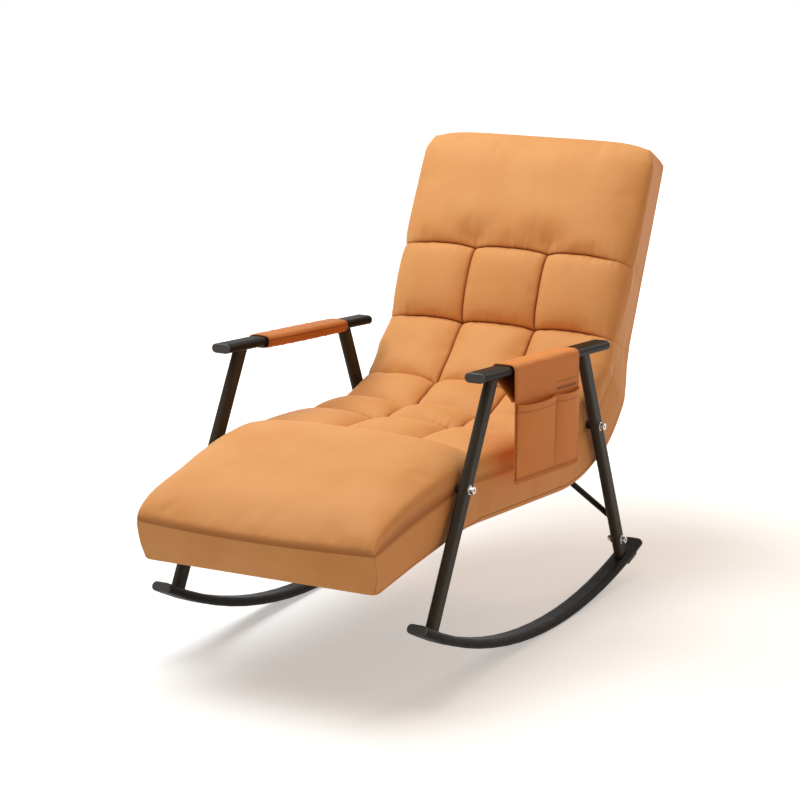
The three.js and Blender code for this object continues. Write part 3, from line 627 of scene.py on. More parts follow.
def waves(place: Array, lengths_mm: Sequence[float], phase: float) -> Array:
    """Adds a few slow sines into an even, repeatable unevenness between about -1 and 1.

    Args:
        place: Places along a line, in millimetres.
        lengths_mm: Wavelengths.
        phase: Start of the first wave, in radians.

    Returns:
        The unevenness at each place.
    """
    parts = [np.sin(place * 2 * math.pi / w + phase * (k + 1) * 1.7) for k, w in enumerate(lengths_mm)]
    return sum(parts) / len(parts)


def end_strips(x: Array, start: int, flip: bool) -> Faces:
    """Closes a section with strips that run from its underside up to its top.

    Args:
        x: The whole section's distances from the middle.
        start: Number of the section's first point.
        flip: Whether the panel faces the other way.

    Returns:
        The panel's faces.
    """
    count, last = len(x), UNDER_POINTS - 1
    top = np.arange(UNDER_POINTS + SIDE_POINTS, count // 2 + 1)
    over = [int(top[np.abs(x[top] - x[k]).argmin()]) for k in range(UNDER_POINTS)]
    strips = [[k, k + 1, *range(over[k + 1], over[k] + 1)] for k in range(last)]
    strips.append(list(range(last, over[last] + 1)))
    strips += [[(count - point) % count for point in reversed(strip)] for strip in strips]
    return [[start + point for point in (reversed(strip) if flip else strip)] for strip in strips]


@dataclass(frozen=True)
class CrossSeam:
    """A seam across the cushion: its reach, and the heights of its middle and of the side's welt."""

    reach: float
    height: float
    welt: float


@dataclass(frozen=True)
class QuiltRow:
    """One row of quilting between two cross seams."""

    start: CrossSeam
    end: CrossSeam
    rise: float
    columns: bool = True
    power: float = 2.4
    round_power: float = 0.5

    @property
    def length(self) -> float:
        """Gives the row's length along the underside."""
        return self.end.reach - self.start.reach

    def between(self, measure: str, share: float) -> float:
        """Gives a measure of the two seams at a share of the way from one to the other."""
        start, end = getattr(self.start, measure), getattr(self.end, measure)
        return start + (end - start) * share


@dataclass
class Loop:
    """Half of one cross section, from the middle of the underside to the middle of the top."""

    reach: float
    x: Array
    height: Array
    marks: dict[str, Array]
    bow: Array | float = 0.0

    def whole(self) -> Loop:
        """Gives the full closed section, the other half mirrored."""
        both = {name: np.concatenate([v, v[-2:0:-1]]) for name, v in self.marks.items()}
        x = np.concatenate([self.x, -self.x[-2:0:-1]])
        return Loop(self.reach, x, np.concatenate([self.height, self.height[-2:0:-1]]), both)


# Measures that change along the cushion: reaches, and the values there, in millimetres or shares.
# side is how much wider than the base cushion it is, flare how far the pillows swell out over that,
# batter how much the side leans out towards its top, dome how much higher the middle is,
# column_fade how far a column seam's dip runs on past the last cross seam,
# notch how sharply the side's welt draws in, tuft and dip how deep the crossings and the column
# seams lie, mid_fill and flank_fill how shallow a cross seam is halfway along a pillow and at the
# side, edge_line the height of the bottom piping, and edge_mark and welt_mark how much painted
# shade darkens the bottom piping and the welt.
COURSES: dict[str, tuple[tuple[float, ...], tuple[float, ...]]] = {
    "side": (
        (-785, -640, -500, -440, -340, 180, 220, 360, 440, 490),
        (6, 6, 13, 19, 19, 13, 18, 18, 4, 0),
    ),
    "flare": ((-785, -640, -420, -300, 250, 430, 600, 880, 921), (1, 1, 2, 3, 3, 18, 25, 25, 12)),
    "batter": ((-785, -640), (7, 0)),
    "crown_power": (
        (-785, -700, -560, -450, -380, 250, 450, 600),
        (9.0, 8.5, 7.0, 4.0, 5.0, 5.0, 3.8, 3.0),
    ),
    "dome": ((-640, -500, -430, -400), (0, 9, 9, 0)),
    "column_fade": ((-430, -400), (14, 60)),
    "notch": ((-300, 300, 450), (1, 1, 0)),
    "tuft": ((-420, -380, 200, 460), (4, 17, 17, 13)),
    "dip": ((-380, 200, 460), (0.9, 0.9, 0.7)),
    "mid_fill": ((-440, -400, 200, 460), (0.3, 0.04, 0.06, 0.16)),
    "flank_fill": ((-450, -400), (0.1, 0.8)),
    "edge_line": ((-430, -380, 100, 420), (6, 12, 12, 22)),
    "edge_mark": ((-430, -380, 250, 420), (0.5, 0.8, 0.7, 0.22)),
    "welt_mark": ((-460, -330, 60, 300), (0.6, 0.35, 0.2, 0.0)),
}


@dataclass
class QuiltedCover:
    """A stretch of the quilted cushion as one closed cover, from one cross seam to another."""

    line: CushionLine
    pose: RestPose
    name: str
    rows: Sequence[QuiltRow]
    recesses: Sequence[tuple[float, float, float]]
    start_bulge: float = 0.0
    end_bulge: float = 0.0
    width: float = 516.0
    column_seam: float = 89.0
    draw_in: float = 4.0
    bottom_round: float = 8.0
    end_round: float = 9.0
    seam_flare: float = 0.85
    # rim_mark and front_mark set how much painted shade darkens the rims' seams and the front panel's
    # edge seam.
    rim_mark: float = 0.55
    front_mark: float = 0.6
    corner_cut: float = 13.0
    flank_from: float = 190.0
    seam_bow: float = 7.0
    recess_height: float = 29.2
    front_lean: float = 6.0
    front_bow: float = 16.0
    front_welt: float = 82.0
    pucker: float = 2.2
    belly: float = 9.0
    belly_from: float = 60.0
    belly_to: float = 440.0
    piping: float = 1.8
    piping_draw: float = 1.0
    welt_turn: float = 4.5
    welt_draw: float = 2.0
    side_swell: float = 2.5
    rise_shares: tuple[float, ...] = (0.13, 0.3, 0.48, 0.66, 0.83)
    lean_pivot_share: float = 0.45
    column_spread: float = 38.0
    tuft_spread: float = 30.0
    bow_spread: float = 48.0
    stitch: float = 1.6
    hold: float = 3.0
    fold_run: float = 17.0
    flank_run: float = 32.0
    corner_run: float = 22.0
    corner_spread: float = 34.0
    cut_run: float = 45.0
    no_seam: float = 99.0
    lip_step: float = 0.4
    recess_step: float = 0.3
    piping_clear: float = 3.0
    inset_height: float = 30.0
    plain_run: float = 60.0
    under_shares: tuple[float, ...] = (0, 0.3, 0.6, 0.85)
    column_powers: tuple[float, float] = (2.2, 0.5)
    welt_holds: tuple[float, ...] = (0.95, 0.8, 0.5)
    top_gathers: tuple[float, ...] = (21.0, 34.0, 55.0)
    side_gathers: tuple[float, ...] = (23.0, 39.0)
    panel_shares: tuple[float, ...] = (0.02, 0.06, 0.14, 0.28, 0.5, 0.75, 0.94)
    station_mm: float = 8.0

    def pillow(self, share: Array | float, power: float, round_power: float) -> Array | float:
        """Gives a pillow's swell between two seams.

        Args:
            share: Place between the seams, from 0 to 1.
            power: How flat its top is.
            round_power: How steeply it leaves the seams.

        Returns:
            The swell, from 0 at the seams to 1.
        """
        return np.maximum(1 - np.abs(2 * share - 1) ** power, 0) ** round_power

    def stations(self) -> list[tuple[QuiltRow, float]]:
        """Places the cover's cross sections, close together at the seams and the recesses' ends.

        Returns:
            Each section's row and its share of the way along it.
        """
        places: list[tuple[QuiltRow, float]] = []
        edges = sorted({edge for start, end, _ in self.recesses for edge in (start, end)})
        for row in self.rows:
            count = max(int(row.length / self.station_mm), 10)
            shares = {0.5 * (1 - math.cos(math.pi * k / count)) for k in range(count)}
            for edge in edges:
                for side in (-self.recess_step, self.recess_step):
                    share = (edge + side - row.start.reach) / row.length
                    if 0.001 < share < 0.999:
                        shares = {s for s in shares if abs(s - share) * row.length > 0.25}
                        shares.add(share)
            places += [(row, share) for share in sorted(shares)]
        places.append((self.rows[-1], 1.0))
        return places

    def top_places(self, row: QuiltRow, share: float, crown_x: float) -> Array:
        """Lays out a section's top, as shares of the half width from the shoulder to the middle.

        Points crowd at the column seams where a row has them, and are even where it is one pillow.

        Args:
            row: The quilt row.
            share: The section's share of the way along it.
            crown_x: The half width that the shares are of.

        Returns:
            The places, from near 1 down to 0.
        """
        flank = np.cos(np.radians([3, 9, 17, 27, 38, 50])) ** (2 / 5)
        seam = self.column_seam / crown_x
        outer = seam + (flank[-1] - seam) * 0.5 * (1 + np.cos(np.pi * np.arange(2, 17) / 16))
        inner = seam * 0.5 * (1 + np.cos(np.pi * np.arange(1, 11) / 20))
        crowded = np.concatenate([outer, inner, seam / 2 * np.linspace(1, 0, 5)[1:]])
        if row.columns:
            return np.concatenate([flank, crowded])
        even = flank[-1] * (1 - np.arange(1, len(crowded) + 1) / len(crowded))
        from_seam = 1 - share if row.start.reach == self.line.front else share
        plain = ease(min(from_seam * row.length / self.plain_run, 1))
        return np.concatenate([flank, crowded + (even - crowded) * plain])

    def section(self, row: QuiltRow, share: float) -> Loop:
        """Draws half of one section, from the underside's middle to the top's middle.

        Args:
            row: The quilt row that it crosses.
            share: Its share of the way along the row.

        Returns:
            The half section with its seam, fold, flank, bow and hold marks.
        """
        reach = row.start.reach + row.length * share
        at = {name: float(np.interp(reach, *course)) for name, course in COURSES.items()}
        swell = float(self.pillow(share, row.power, row.round_power))
        end_gap = min(reach - self.line.front, self.line.rear - reach)
        inset = self.end_round * (1 - math.sqrt(1 - max(1 - end_gap / self.end_round, 0) ** 2))
        half = self.width / 2 + at["side"]
        welt, seam_height = row.between("welt", share), row.between("height", share)

        recess = next((w for a, b, w in self.recesses if a < reach < b), 0.0)
        lip = recess or self.width / 2 - 2 * self.bottom_round
        inner_x = [part * lip for part in self.under_shares]
        under_x = np.array([*inner_x, lip - self.lip_step, lip, half - self.bottom_round])
        under_z = np.array([self.recess_height if recess else 0.0] * 5 + [0.0, 0.0])
        under_x[-1] -= inset + self.lean_pivot_share * at["batter"]
        edge = at["edge_line"]
        low_z, high_z = min(self.bottom_round, edge - self.piping_clear), edge + self.piping
        rise_z = high_z + np.array(self.rise_shares) * (welt - self.welt_turn - high_z)
        side_z = np.array([0.3 * low_z, low_z, edge - self.piping, edge, high_z, *rise_z,
                           welt - self.welt_turn, welt - self.stitch, welt])
        into = min(max((reach - self.belly_from) / (self.belly_to - self.belly_from), 0), 1)
        sag = self.belly * math.sin(math.pi * into) ** 1.5
        under_z = under_z - sag
        side_z = side_z - sag * (1 - side_z / welt)
        up = np.clip(side_z / welt, 0, 1)
        side_x = half + self.side_swell * np.sin(np.pi * up) * swell
        side_x[0] = half - 0.25 * self.bottom_round
        side_x -= inset * np.clip(1 - side_z / self.inset_height, 0, 1)
        side_x += at["batter"] * (up - self.lean_pivot_share)
        side_x[EDGE_POINT] -= self.piping_draw
        flare = at["flare"] * (self.seam_flare + (1 - self.seam_flare) * swell)
        notch = at["notch"]
        side_x += (1 - notch) * flare * up**1.4
        side_x -= self.draw_in * (1 - swell) * up**4
        side_x[-1] -= self.welt_draw * notch

        crown_x = side_x[-1] + notch * flare
        shares = self.top_places(row, share, crown_x)
        rounding = np.maximum(1 - shares ** at["crown_power"], 0) ** (1 / at["crown_power"])
        distance = shares * crown_x
        from_column = distance - self.column_seam
        outside = np.minimum(from_column / (crown_x - self.column_seam), 0.5)
        inside = (1 + distance / self.column_seam) / 2
        pattern = self.pillow(np.where(from_column < 0, inside, outside), *self.column_powers)
        to_cross = min(share, 1 - share) * row.length
        nearest = row.start.reach if share < 0.5 else row.end.reach
        inner_seam = 0.0 if nearest in (self.line.front, self.line.rear) else 1.0
        column = pattern
        if not row.columns:
            past = to_cross / at["column_fade"]
            near = min(past * 3, 1)
            column = pattern * (1 - near) + (1 - ridge(from_column, self.column_spread)) * near
            column = column + (1 - column) * (ease(min(past, 1)) if inner_seam else 1.0)
        flank_share = np.clip((distance - self.flank_from) / (crown_x - self.flank_from), 0, 1)
        fill = np.maximum(at["mid_fill"] * column, at["flank_fill"] * flank_share) * inner_seam
        puff = swell + (1 - swell) * fill
        crown = row.rise * puff * (1 - at["dip"] * (1 - column) * (1 - flank_share))
        crown += at["dome"] * (1 - shares**2)
        tuft = at["tuft"] * inner_seam * (1 - column) * (1 - swell)
        tuft = tuft * ridge(from_column, self.tuft_spread)
        top_z = welt + (seam_height + crown - tuft - welt) * rounding
        top_x = distance - notch * flare * (1 - rounding) ** 2.5

        x = np.concatenate([under_x, side_x, top_x])
        low = UNDER_POINTS + SIDE_POINTS
        to_column = np.abs(from_column) if row.columns else np.full(distance.shape, self.no_seam)
        seam_shade, fold, flank, bow, held = (np.full(len(x), value) for value in (0.0, 0.0, 0.0, 0.0, 1.0))
        outward = 1 - 0.8 * np.clip((flank_share - 0.3) / 0.7, 0, 1) * inner_seam
        plain = 1.0 if inner_seam else self.rim_mark
        # Painted shade: the seam mark darkens the cross and column seams, the welt, the bottom piping
        # and the front panel's edge.
        cross_mark = plain * fading(to_cross, self.stitch) * outward
        seam_shade[low:] = np.maximum(cross_mark, fading(to_column, self.stitch))
        seam_shade[low - 1] = at["welt_mark"]
        seam_shade[UNDER_POINTS + EDGE_POINT] = at["edge_mark"]
        if reach == self.line.front:
            seam_shade[UNDER_POINTS:low] = self.front_mark
        held[low:] = np.maximum(fading(to_cross, self.hold), fading(to_column, self.hold))
        welt_side = slice(low, low + len(self.welt_holds))
        held[welt_side] = np.maximum(held[welt_side], self.welt_holds)
        corner = fading(reach - self.line.front, self.corner_run)
        corner = corner * fading(np.abs(crown_x - distance), self.corner_spread)
        fold[low:] = np.maximum(fading(to_cross, self.fold_run) * inner_seam, corner)
        flank[low - 9 : low + 4] = fading(to_cross, self.flank_run) * inner_seam
        bow[low:] = self.seam_bow * ridge(to_cross, self.bow_spread) * inner_seam
        bow[low:] *= pattern * (1 - flank_share)
        cut = fading(self.line.rear - reach, self.cut_run) * np.minimum(np.abs(x) / half, 1) ** 7
        bow -= self.corner_cut * cut
        marks = {"seam_shade": seam_shade, "held": held, "fold": fold, "flank": flank, "bow": bow}
        return Loop(reach, x, np.concatenate([under_z, side_z, top_z]), marks)

    def puckered(self, row: QuiltRow, share: float) -> Loop:
        """Draws a whole section, gathered in small folds square to the nearest cross seam.

        Args:
            row: The quilt row that it crosses.
            share: Its share of the way along the row.

        Returns:
            The section with its folds.
        """
        loop = self.section(row, share).whole()
        phase = 0.017 * (row.start.reach if share < 0.5 else row.end.reach)
        flank = loop.marks.pop("flank")
        loop.bow = loop.marks.pop("bow")
        top = self.pucker * loop.marks["fold"] * waves(loop.x, self.top_gathers, phase)
        side = self.pucker * flank * waves(loop.height, self.side_gathers, phase + 0.8)
        loop.height = loop.height + top
        loop.x = loop.x + np.sign(loop.x) * side
        return loop

    def lean(self, loop: Loop) -> Array:
        """Leans and bows the footrest's front panel.

        Args:
            loop: A section.

        Returns:
            How far each of its points moves forward.
        """
        near = max(1 - (loop.reach - self.line.front) / self.line.footrest_length, 0)
        bow = self.front_bow * np.maximum(1 - (2 * loop.x / self.width) ** 2, 0) * near**2
        return (self.front_lean * near + bow) * np.minimum(loop.height / self.front_welt, 1)

    def closing_loops(self, end: Loop, bulge: float) -> list[Loop]:
        """Draws the shrinking loops that close an end as a softly rounded panel.

        Args:
            end: The end section.
            bulge: How far the panel swells out, less than 0 towards the front.

        Returns:
            Loops from the rim inwards.
        """
        top, half = end.height.max(), np.abs(end.x).max()
        blank = {name: np.zeros(end.x.shape) for name in end.marks}
        blank["held"] = np.ones(end.x.shape)
        loops = []
        for step in self.panel_shares:
            x = end.x * (1 - step * top / 2 / half)
            height = top / 2 + (end.height - top / 2) * (1 - step)
            across, up = np.maximum(1 - (x / half) ** 4, 0), np.clip(height / top, 0, 1)
            swell = bulge * (across * np.sin(math.pi * up))
            loops.append(Loop(end.reach, x, height, blank, end.bow * (1 - step) + swell))
        return loops

    def build(self, material: Material) -> Piece:
        """Makes the closed cover in its leatherette.

        Args:
            material: The leatherette.

        Returns:
            The cover.
        """
        body = [self.puckered(row, share) for row, share in self.stations()]
        front = self.closing_loops(body[0], -self.start_bulge)
        rear = self.closing_loops(body[-1], self.end_bulge)
        loops = [*reversed(front), *body, *rear]
        points = []
        for loop in loops:
            y, up = self.line.spot(loop.reach + loop.bow - self.lean(loop), loop.height)
            points.append(np.stack([loop.x, y, up], axis=-1))
        count = len(loops[0].x)
        faces: Faces = []
        for a in range(0, (len(loops) - 1) * count, count):
            b = a + count
            faces += [(a + j, b + j, b + (j + 1) % count, a + (j + 1) % count) for j in range(count)]
        faces += end_strips(loops[0].x, 0, False)
        faces += end_strips(loops[-1].x, (len(loops) - 1) * count, True)
        marks = {name: np.concatenate([loop.marks[name] for loop in loops]) for name in loops[0].marks}
        cover = tagged_mesh(self.name, self.pose.row(np.concatenate(points)), faces, material, marks)
        joins = {len(front): self.start_bulge, len(front) + len(body) - 1: self.end_bulge}
        self.sharpen(cover, [number for number, bulge in joins.items() if not bulge], count)
        return cover

    def sharpen(self, cover: Piece, numbers: Sequence[int], count: int) -> None:
        """Keeps the rims crisp where two covers meet, so that no groove shows between them.

        Args:
            cover: The cover.
            numbers: The rims' loop numbers.
            count: Points in a loop.
        """
        mesh = cover.data
        ends = np.empty(len(mesh.edges) * 2, dtype=np.int32)
        mesh.edges.foreach_get("vertices", ends)
        loop = ends.reshape(-1, 2) // count
        rim = (loop[:, 0] == loop[:, 1]) & np.isin(loop[:, 0], numbers)
        crease = mesh.attributes.new("crease_edge", "FLOAT", "EDGE")
        crease.data.foreach_set("value", rim.astype(np.float32))


def inflate(piece: Piece, pressure: float, slack: float, cap_mm: float, frames: int) -> None:
    """Fills a cover by cloth simulation, held at its seams, and limits how far each point moves.

    Args:
        piece: The cover, with its "held" values.
        pressure: The air pressure inside.
        slack: Spare cloth, as a share of its size.
        cap_mm: The farthest that a point may move.
        frames: How many steps to run.
    """
    mesh = piece.data
    before = vertex_places(mesh)
    held = np.empty(len(mesh.vertices), dtype=np.float32)
    mesh.attributes["held"].data.foreach_get("value", held)
    group = piece.vertex_groups.new(name="held")
    for number, weight in enumerate(held):
        group.add([number], float(min(max(weight, 0.0), 1.0)), "REPLACE")
    cloth = piece.modifiers.new("filling", "CLOTH")
    stiffness = {"tension_stiffness": 20, "compression_stiffness": 20, "shear_stiffness": 8,
                 "bending_stiffness": 2.0}
    filling = {"use_pressure": True, "uniform_pressure_force": pressure, "shrink_min": -slack}
    settings = {"vertex_group_mass": "held", "mass": 0.3, "quality": 6, **filling, **stiffness}
    for name, value in settings.items():
        setattr(cloth.settings, name, value)
    cloth.settings.effector_weights.gravity = 0
    cloth.collision_settings.use_collision = False
    cloth.point_cache.frame_start, cloth.point_cache.frame_end = 1, frames
    scene = bpy.context.scene
    scene.frame_start, scene.frame_end = 1, frames
    for number in range(1, frames + 1):
        scene.frame_set(number)
    moved = vertex_places(piece.evaluated_get(bpy.context.evaluated_depsgraph_get()).data) - before
    length = np.linalg.norm(moved, axis=1, keepdims=True)
    cap, least = cap_mm * MM, 1e-9
    moved *= np.where(length > least, cap * np.tanh(length / cap) / np.maximum(length, least), 0)
    piece.modifiers.clear()
    piece.vertex_groups.clear()
    mesh.vertices.foreach_set("co", (before + moved).ravel())
    mesh.update()
    scene.frame_set(1)


@dataclass
class Upholstery:
    """The two quilted covers and their rows.

    A seam is its reach, its height and its welt's height. The footrest and the headrest are single
    pillows: rise, no columns, and the two powers of a QuiltRow.
    """

    line: CushionLine
    pose: RestPose
    front_edge: tuple[float, float] = (82.0, 82.0)
    top_edge: tuple[float, float] = (118.0, 118.0)
    seams: tuple[tuple[float, float, float], ...] = (
        (-399, 122, 85),
        (-145, 126, 93),
        (-14, 133, 93),
        (185, 158, 93),
        (467, 152, 118),
        (638, 162, 118),
    )
    seat_rise: float = 35.0
    back_rise: float = 32.0
    footrest: tuple[float, bool, float, float] = (50.0, False, 4.5, 0.42)
    headrest: tuple[float, bool, float, float] = (34.0, False, 4.0, 0.5)
    cheek: float = 244.0
    rail_side: float = 235.2
    bend_reach: float = 62.0

    def rows(self) -> list[QuiltRow]:
        """Lists the quilt's rows from the footrest to the headrest.

        Returns:
            The rows.
        """
        front, rear = (self.line.front, *self.front_edge), (self.line.rear, *self.top_edge)
        seams = [CrossSeam(*measures) for measures in (front, *self.seams, rear)]
        pillows = [self.footrest, *[(self.seat_rise,)] * 3, *[(self.back_rise,)] * 2, self.headrest]
        return [QuiltRow(a, b, *pillow) for a, b, pillow in zip(seams, seams[1:], pillows)]

    def recesses(self) -> list[tuple[float, float, float]]:
        """Gives the room left in the underside for the inner frames.

        Returns:
            Start, end and half width of each recess, along the underside.
        """
        foot, seat, back = self.line.foot_reach, -self.line.bend_start, self.line.bend_length
        return [
            (foot - 298, foot - 58, self.rail_side),
            (seat - 308, seat + 173, self.cheek),
            (back - 4, back + 406, self.rail_side),
        ]

    def build(self) -> list[Piece]:
        """Makes both covers and fills them.

        Returns:
            The covers.
        """
        rows, recesses, material = self.rows(), self.recesses(), UPHOLSTERY.material()
        covers = [
            QuiltedCover(self.line, self.pose, "footrest_seat_cover", rows[:2], recesses, 4.0, 0.0),
            QuiltedCover(self.line, self.pose, "seat_back_cover", rows[2:], recesses, 0.0, 3.0),
        ]
        fore, aft = pieces = [cover.build(material) for cover in covers]
        for cover, slack in zip(pieces, (0.004, 0.008)):
            inflate(cover, pressure=4.0, slack=slack, cap_mm=8.0, frames=20)
            fine = cover.modifiers.new("fine", "SUBSURF")
            fine.levels = fine.render_levels = 1
            apply_modifiers(cover)
            cover.data.shade_smooth()
        place, out = self.pose.point, self.bend_reach
        y, z = self.line.foot_hinge()
        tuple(place(0, y + out, z + 8))
        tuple(place(0, y - out, z - 8))
        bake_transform(fore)
        y, z = self.line.back_hinge()
        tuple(place(0, y - out, z - out))
        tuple(place(0, y + out, z + out))
        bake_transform(aft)
        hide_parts("footrest_cushion")
        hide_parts("back_cushion", "seat_cushion")
        return pieces


@dataclass
class SheetGrid:
    """A sheet's middle surface as a grid of levelled places, which is given its thickness."""

    middle: Array
    thickness: Array | float
    marks: dict[str, Array]
    ring: bool = False

    def normals(self) -> Array:
        """Finds the grid's unit normals, the second axis crossed with the first.

        Returns:
            A normal for each place.
        """
        if self.ring:
            along = np.roll(self.middle, -1, axis=0) - np.roll(self.middle, 1, axis=0)
        else:
            along = np.gradient(self.middle, axis=0)
        square = np.cross(np.gradient(self.middle, axis=1), along)
        return square / np.linalg.norm(square, axis=-1, keepdims=True)

    def build(self, name: str, pose: RestPose, material: Material) -> Piece:
        """Makes the closed sheet.

        Args:
            name: The piece's name.
            pose: The rest pose.
            material: Its leatherette.

        Returns:
            The sheet.
        """
        rows, columns = self.middle.shape[:2]
        half = np.asarray(self.thickness)[..., None] / 2 * self.normals()
        points = np.concatenate([(self.middle + side).reshape(-1, 3) for side in (half, -half)])
        inner = rows * columns
        faces: Faces = []
        for i in range(rows if self.ring else rows - 1):
            a, b = i * columns, (i + 1) % rows * columns
            for j in range(columns - 1):
                faces.append((a + j, a + j + 1, b + j + 1, b + j))
                faces.append((inner + a + j, inner + b + j, inner + b + j + 1, inner + a + j + 1))
            for j, way in ((0, 1), (columns - 1, -1)):
                faces.append((a + j, b + j, inner + b + j, inner + a + j)[::way])
        for a, way in () if self.ring else ((0, 1), ((rows - 1) * columns, -1)):
            for j in range(a, a + columns - 1):
                faces.append((j, j + 1, inner + j + 1, inner + j)[::way])
        marks = {mark: np.concatenate([v.ravel(), v.ravel() * 0.3]) for mark, v in self.marks.items()}
        return tagged_mesh(name, pose.row(points), faces, material, marks)


@dataclass
class ArmOrganiser:
    """The pocket organiser: one sheet looped round the near arm, with two patch pockets on it."""

    pose: RestPose
    panel_x: float = 315.3
    inner_x: float = 264.7
    top: float = 589.8
    inner_low: float = 566.0
    join: float = 516.0
    hem: float = 348.0
    hem_line: float = 9.0
    corner: float = 11.0
    front: float = -203.0
    rear: float = 98.0
    thickness: float = 2.6
    hem_corner: float = 16.0
    pocket_low: float = 355.0
    mouth: float = 511.0
    slit_lines: tuple[float, float] = (8.0, 22.0)
    side_line: float = 5.0
    stitch: float = 1.6
    divider: float = -21.0
    plumb: float = 0.08
    patch: float = 2.2
    patch_fold: float = 1.3
    front_depth: float = 12.0
    rear_depth: float = 9.0
    tuck_in: float = 2.5
    tuck_up: float = 6.0
    lap_in: float = 2.9
    lap_turn: tuple[float, float] = (9.0, 8.0)
    drape_from: float = 12.0
    sway: float = 0.9
    inner_sway: float = 1.1
    curl: float = 2.2
    curl_run: float = 26.0
    edge_steps: tuple[float, ...] = (0.0, 2.0, 5.0, 8.0)
    edge_margin: float = 15.0
    slit_ease: float = 8.0
    mouth_sag: float = 5.0
    fold_share: float = 0.885
    step: float = 6.0

    def profile(self) -> Array:
        """Draws the loop from the outer hem over the arm and back under it to the panel.

        Returns:
            Rows of x and z in millimetres, evenly spaced but for closer ones at the sewn lines.
        """
        arcs = []
        for centre, start in ((self.panel_x - self.corner, 0), (self.inner_x + self.corner, 90)):
            turn = np.radians(np.linspace(start, start + 90, 7))
            rise = self.top - self.corner + self.corner * np.sin(turn)
            arcs.append(np.stack([centre + self.corner * np.cos(turn), rise], axis=-1))
        turn_in, turn_up = self.lap_turn
        under = np.array([
            [self.inner_x, self.inner_low + self.tuck_up],
            [self.inner_x + self.tuck_in, self.inner_low],
            [self.panel_x - turn_in, self.join + turn_up],
            [self.panel_x - self.lap_in, self.join],
        ])
        line = np.concatenate([[[self.panel_x, self.hem]], *arcs, under])
        length = np.concatenate([[0], np.cumsum(np.linalg.norm(np.diff(line, axis=0), axis=1))])
        sewn = [self.hem_line, *(self.mouth + rise - self.hem for rise in self.slit_lines)]
        lines = [place + side for place in sewn for side in (-self.stitch, 0, self.stitch)]
        even = np.linspace(0, length[-1], int(length[-1] / self.step))
        even = np.unique(np.concatenate([even, length[1:-3], lines]))
        even = even[np.concatenate([[True], np.diff(even) > 0.7])]
        return np.stack([np.interp(even, length, line[:, k]) for k in (0, 1)], axis=-1)

    def hang(self, z: Array) -> Array:
        """Says how far back the outer panel hangs at some heights, plumb from an arm that leans."""
        return self.plumb * np.maximum(self.top - z, 0)

    def drape(self, y: Array, z: Array) -> Array:
        """Says how far out from its plane the outer panel stands.

        Args:
            y: Places along the chair.
            z: Heights.

        Returns:
            The offset in millimetres.
        """
        drop = np.clip((self.top - self.drape_from - z) / (self.top - self.hem), 0, 1)
        slow = waves(y + 0.35 * z, (150.0, 83.0), 0.6) * self.sway
        curl = self.curl * fading(y - self.front, self.curl_run)
        return drop * (slow + curl * np.sin(np.clip(drop * 1.3, 0, 1) * math.pi))

    def sheet(self, material: Material) -> Piece:
        """Makes the looped sheet.

        Args:
            material: Its leatherette.

        Returns:
            The sheet.
        """
        profile = self.profile()
        rim = np.array(self.edge_steps)
        middle = np.linspace(self.front + self.edge_margin, self.rear - self.edge_margin, 38)
        y = np.concatenate([self.front + rim, middle, self.rear - rim[::-1]])
        y = np.broadcast_to(y, (len(profile), len(y))).copy()
        x, z = (np.repeat(profile[:, k : k + 1], y.shape[1], axis=1) for k in (0, 1))
        first = (np.arange(len(profile)) < len(profile) * 0.66)[:, None]
        outer = (x > self.panel_x - 0.01) & first
        into = np.clip((y - (self.rear - self.hem_corner)) / self.hem_corner, 0, 1)
        lift = self.hem_corner * (1 - np.sqrt(np.maximum(1 - into**2, 0)))
        low = np.clip((self.join - z) / (self.join - self.hem), 0, 1)
        z = z + np.where(outer, lift * low, 0)
        x = x + np.where(outer, self.drape(y, z), 0)
        loose = ~outer & (z < self.top - 4)
        x = x + np.where(loose, self.inner_sway * waves(y, (120.0, 70.0), 2.0), 0)
        middle = np.stack([x, y + np.where(outer, self.hang(z), 0), z], axis=-1)
        # Painted shade: the seam mark darkens the hem line, the slit above the rear pocket as a shadow
        # gap, the stitch line over it and the sewn sides.
        hem = ridge(z - (self.hem + self.hem_line), 1.3) * outer * 0.45
        behind = np.clip((y - self.divider - 6) / self.slit_ease, 0, 1)
        behind = behind * np.clip((self.rear - self.slit_ease - y) / self.slit_ease, 0, 1)
        slit, upper = (
            ridge(z - (self.mouth + rise), width) * outer * behind * depth
            for rise, width, depth in zip(self.slit_lines, (1.6, 1.2), (1.0, 0.6))
        )
        sides = (self.front + self.side_line, self.rear - self.side_line)
        side = sum(ridge(y - place, 2) for place in sides)
        seam_shade = np.maximum.reduce([hem, upper, slit, 0.4 * side])
        grid = SheetGrid(middle, self.thickness, {"seam_shade": seam_shade, "fold": 0.3 * side})
        return grid.build("organiser_sheet", self.pose, material)

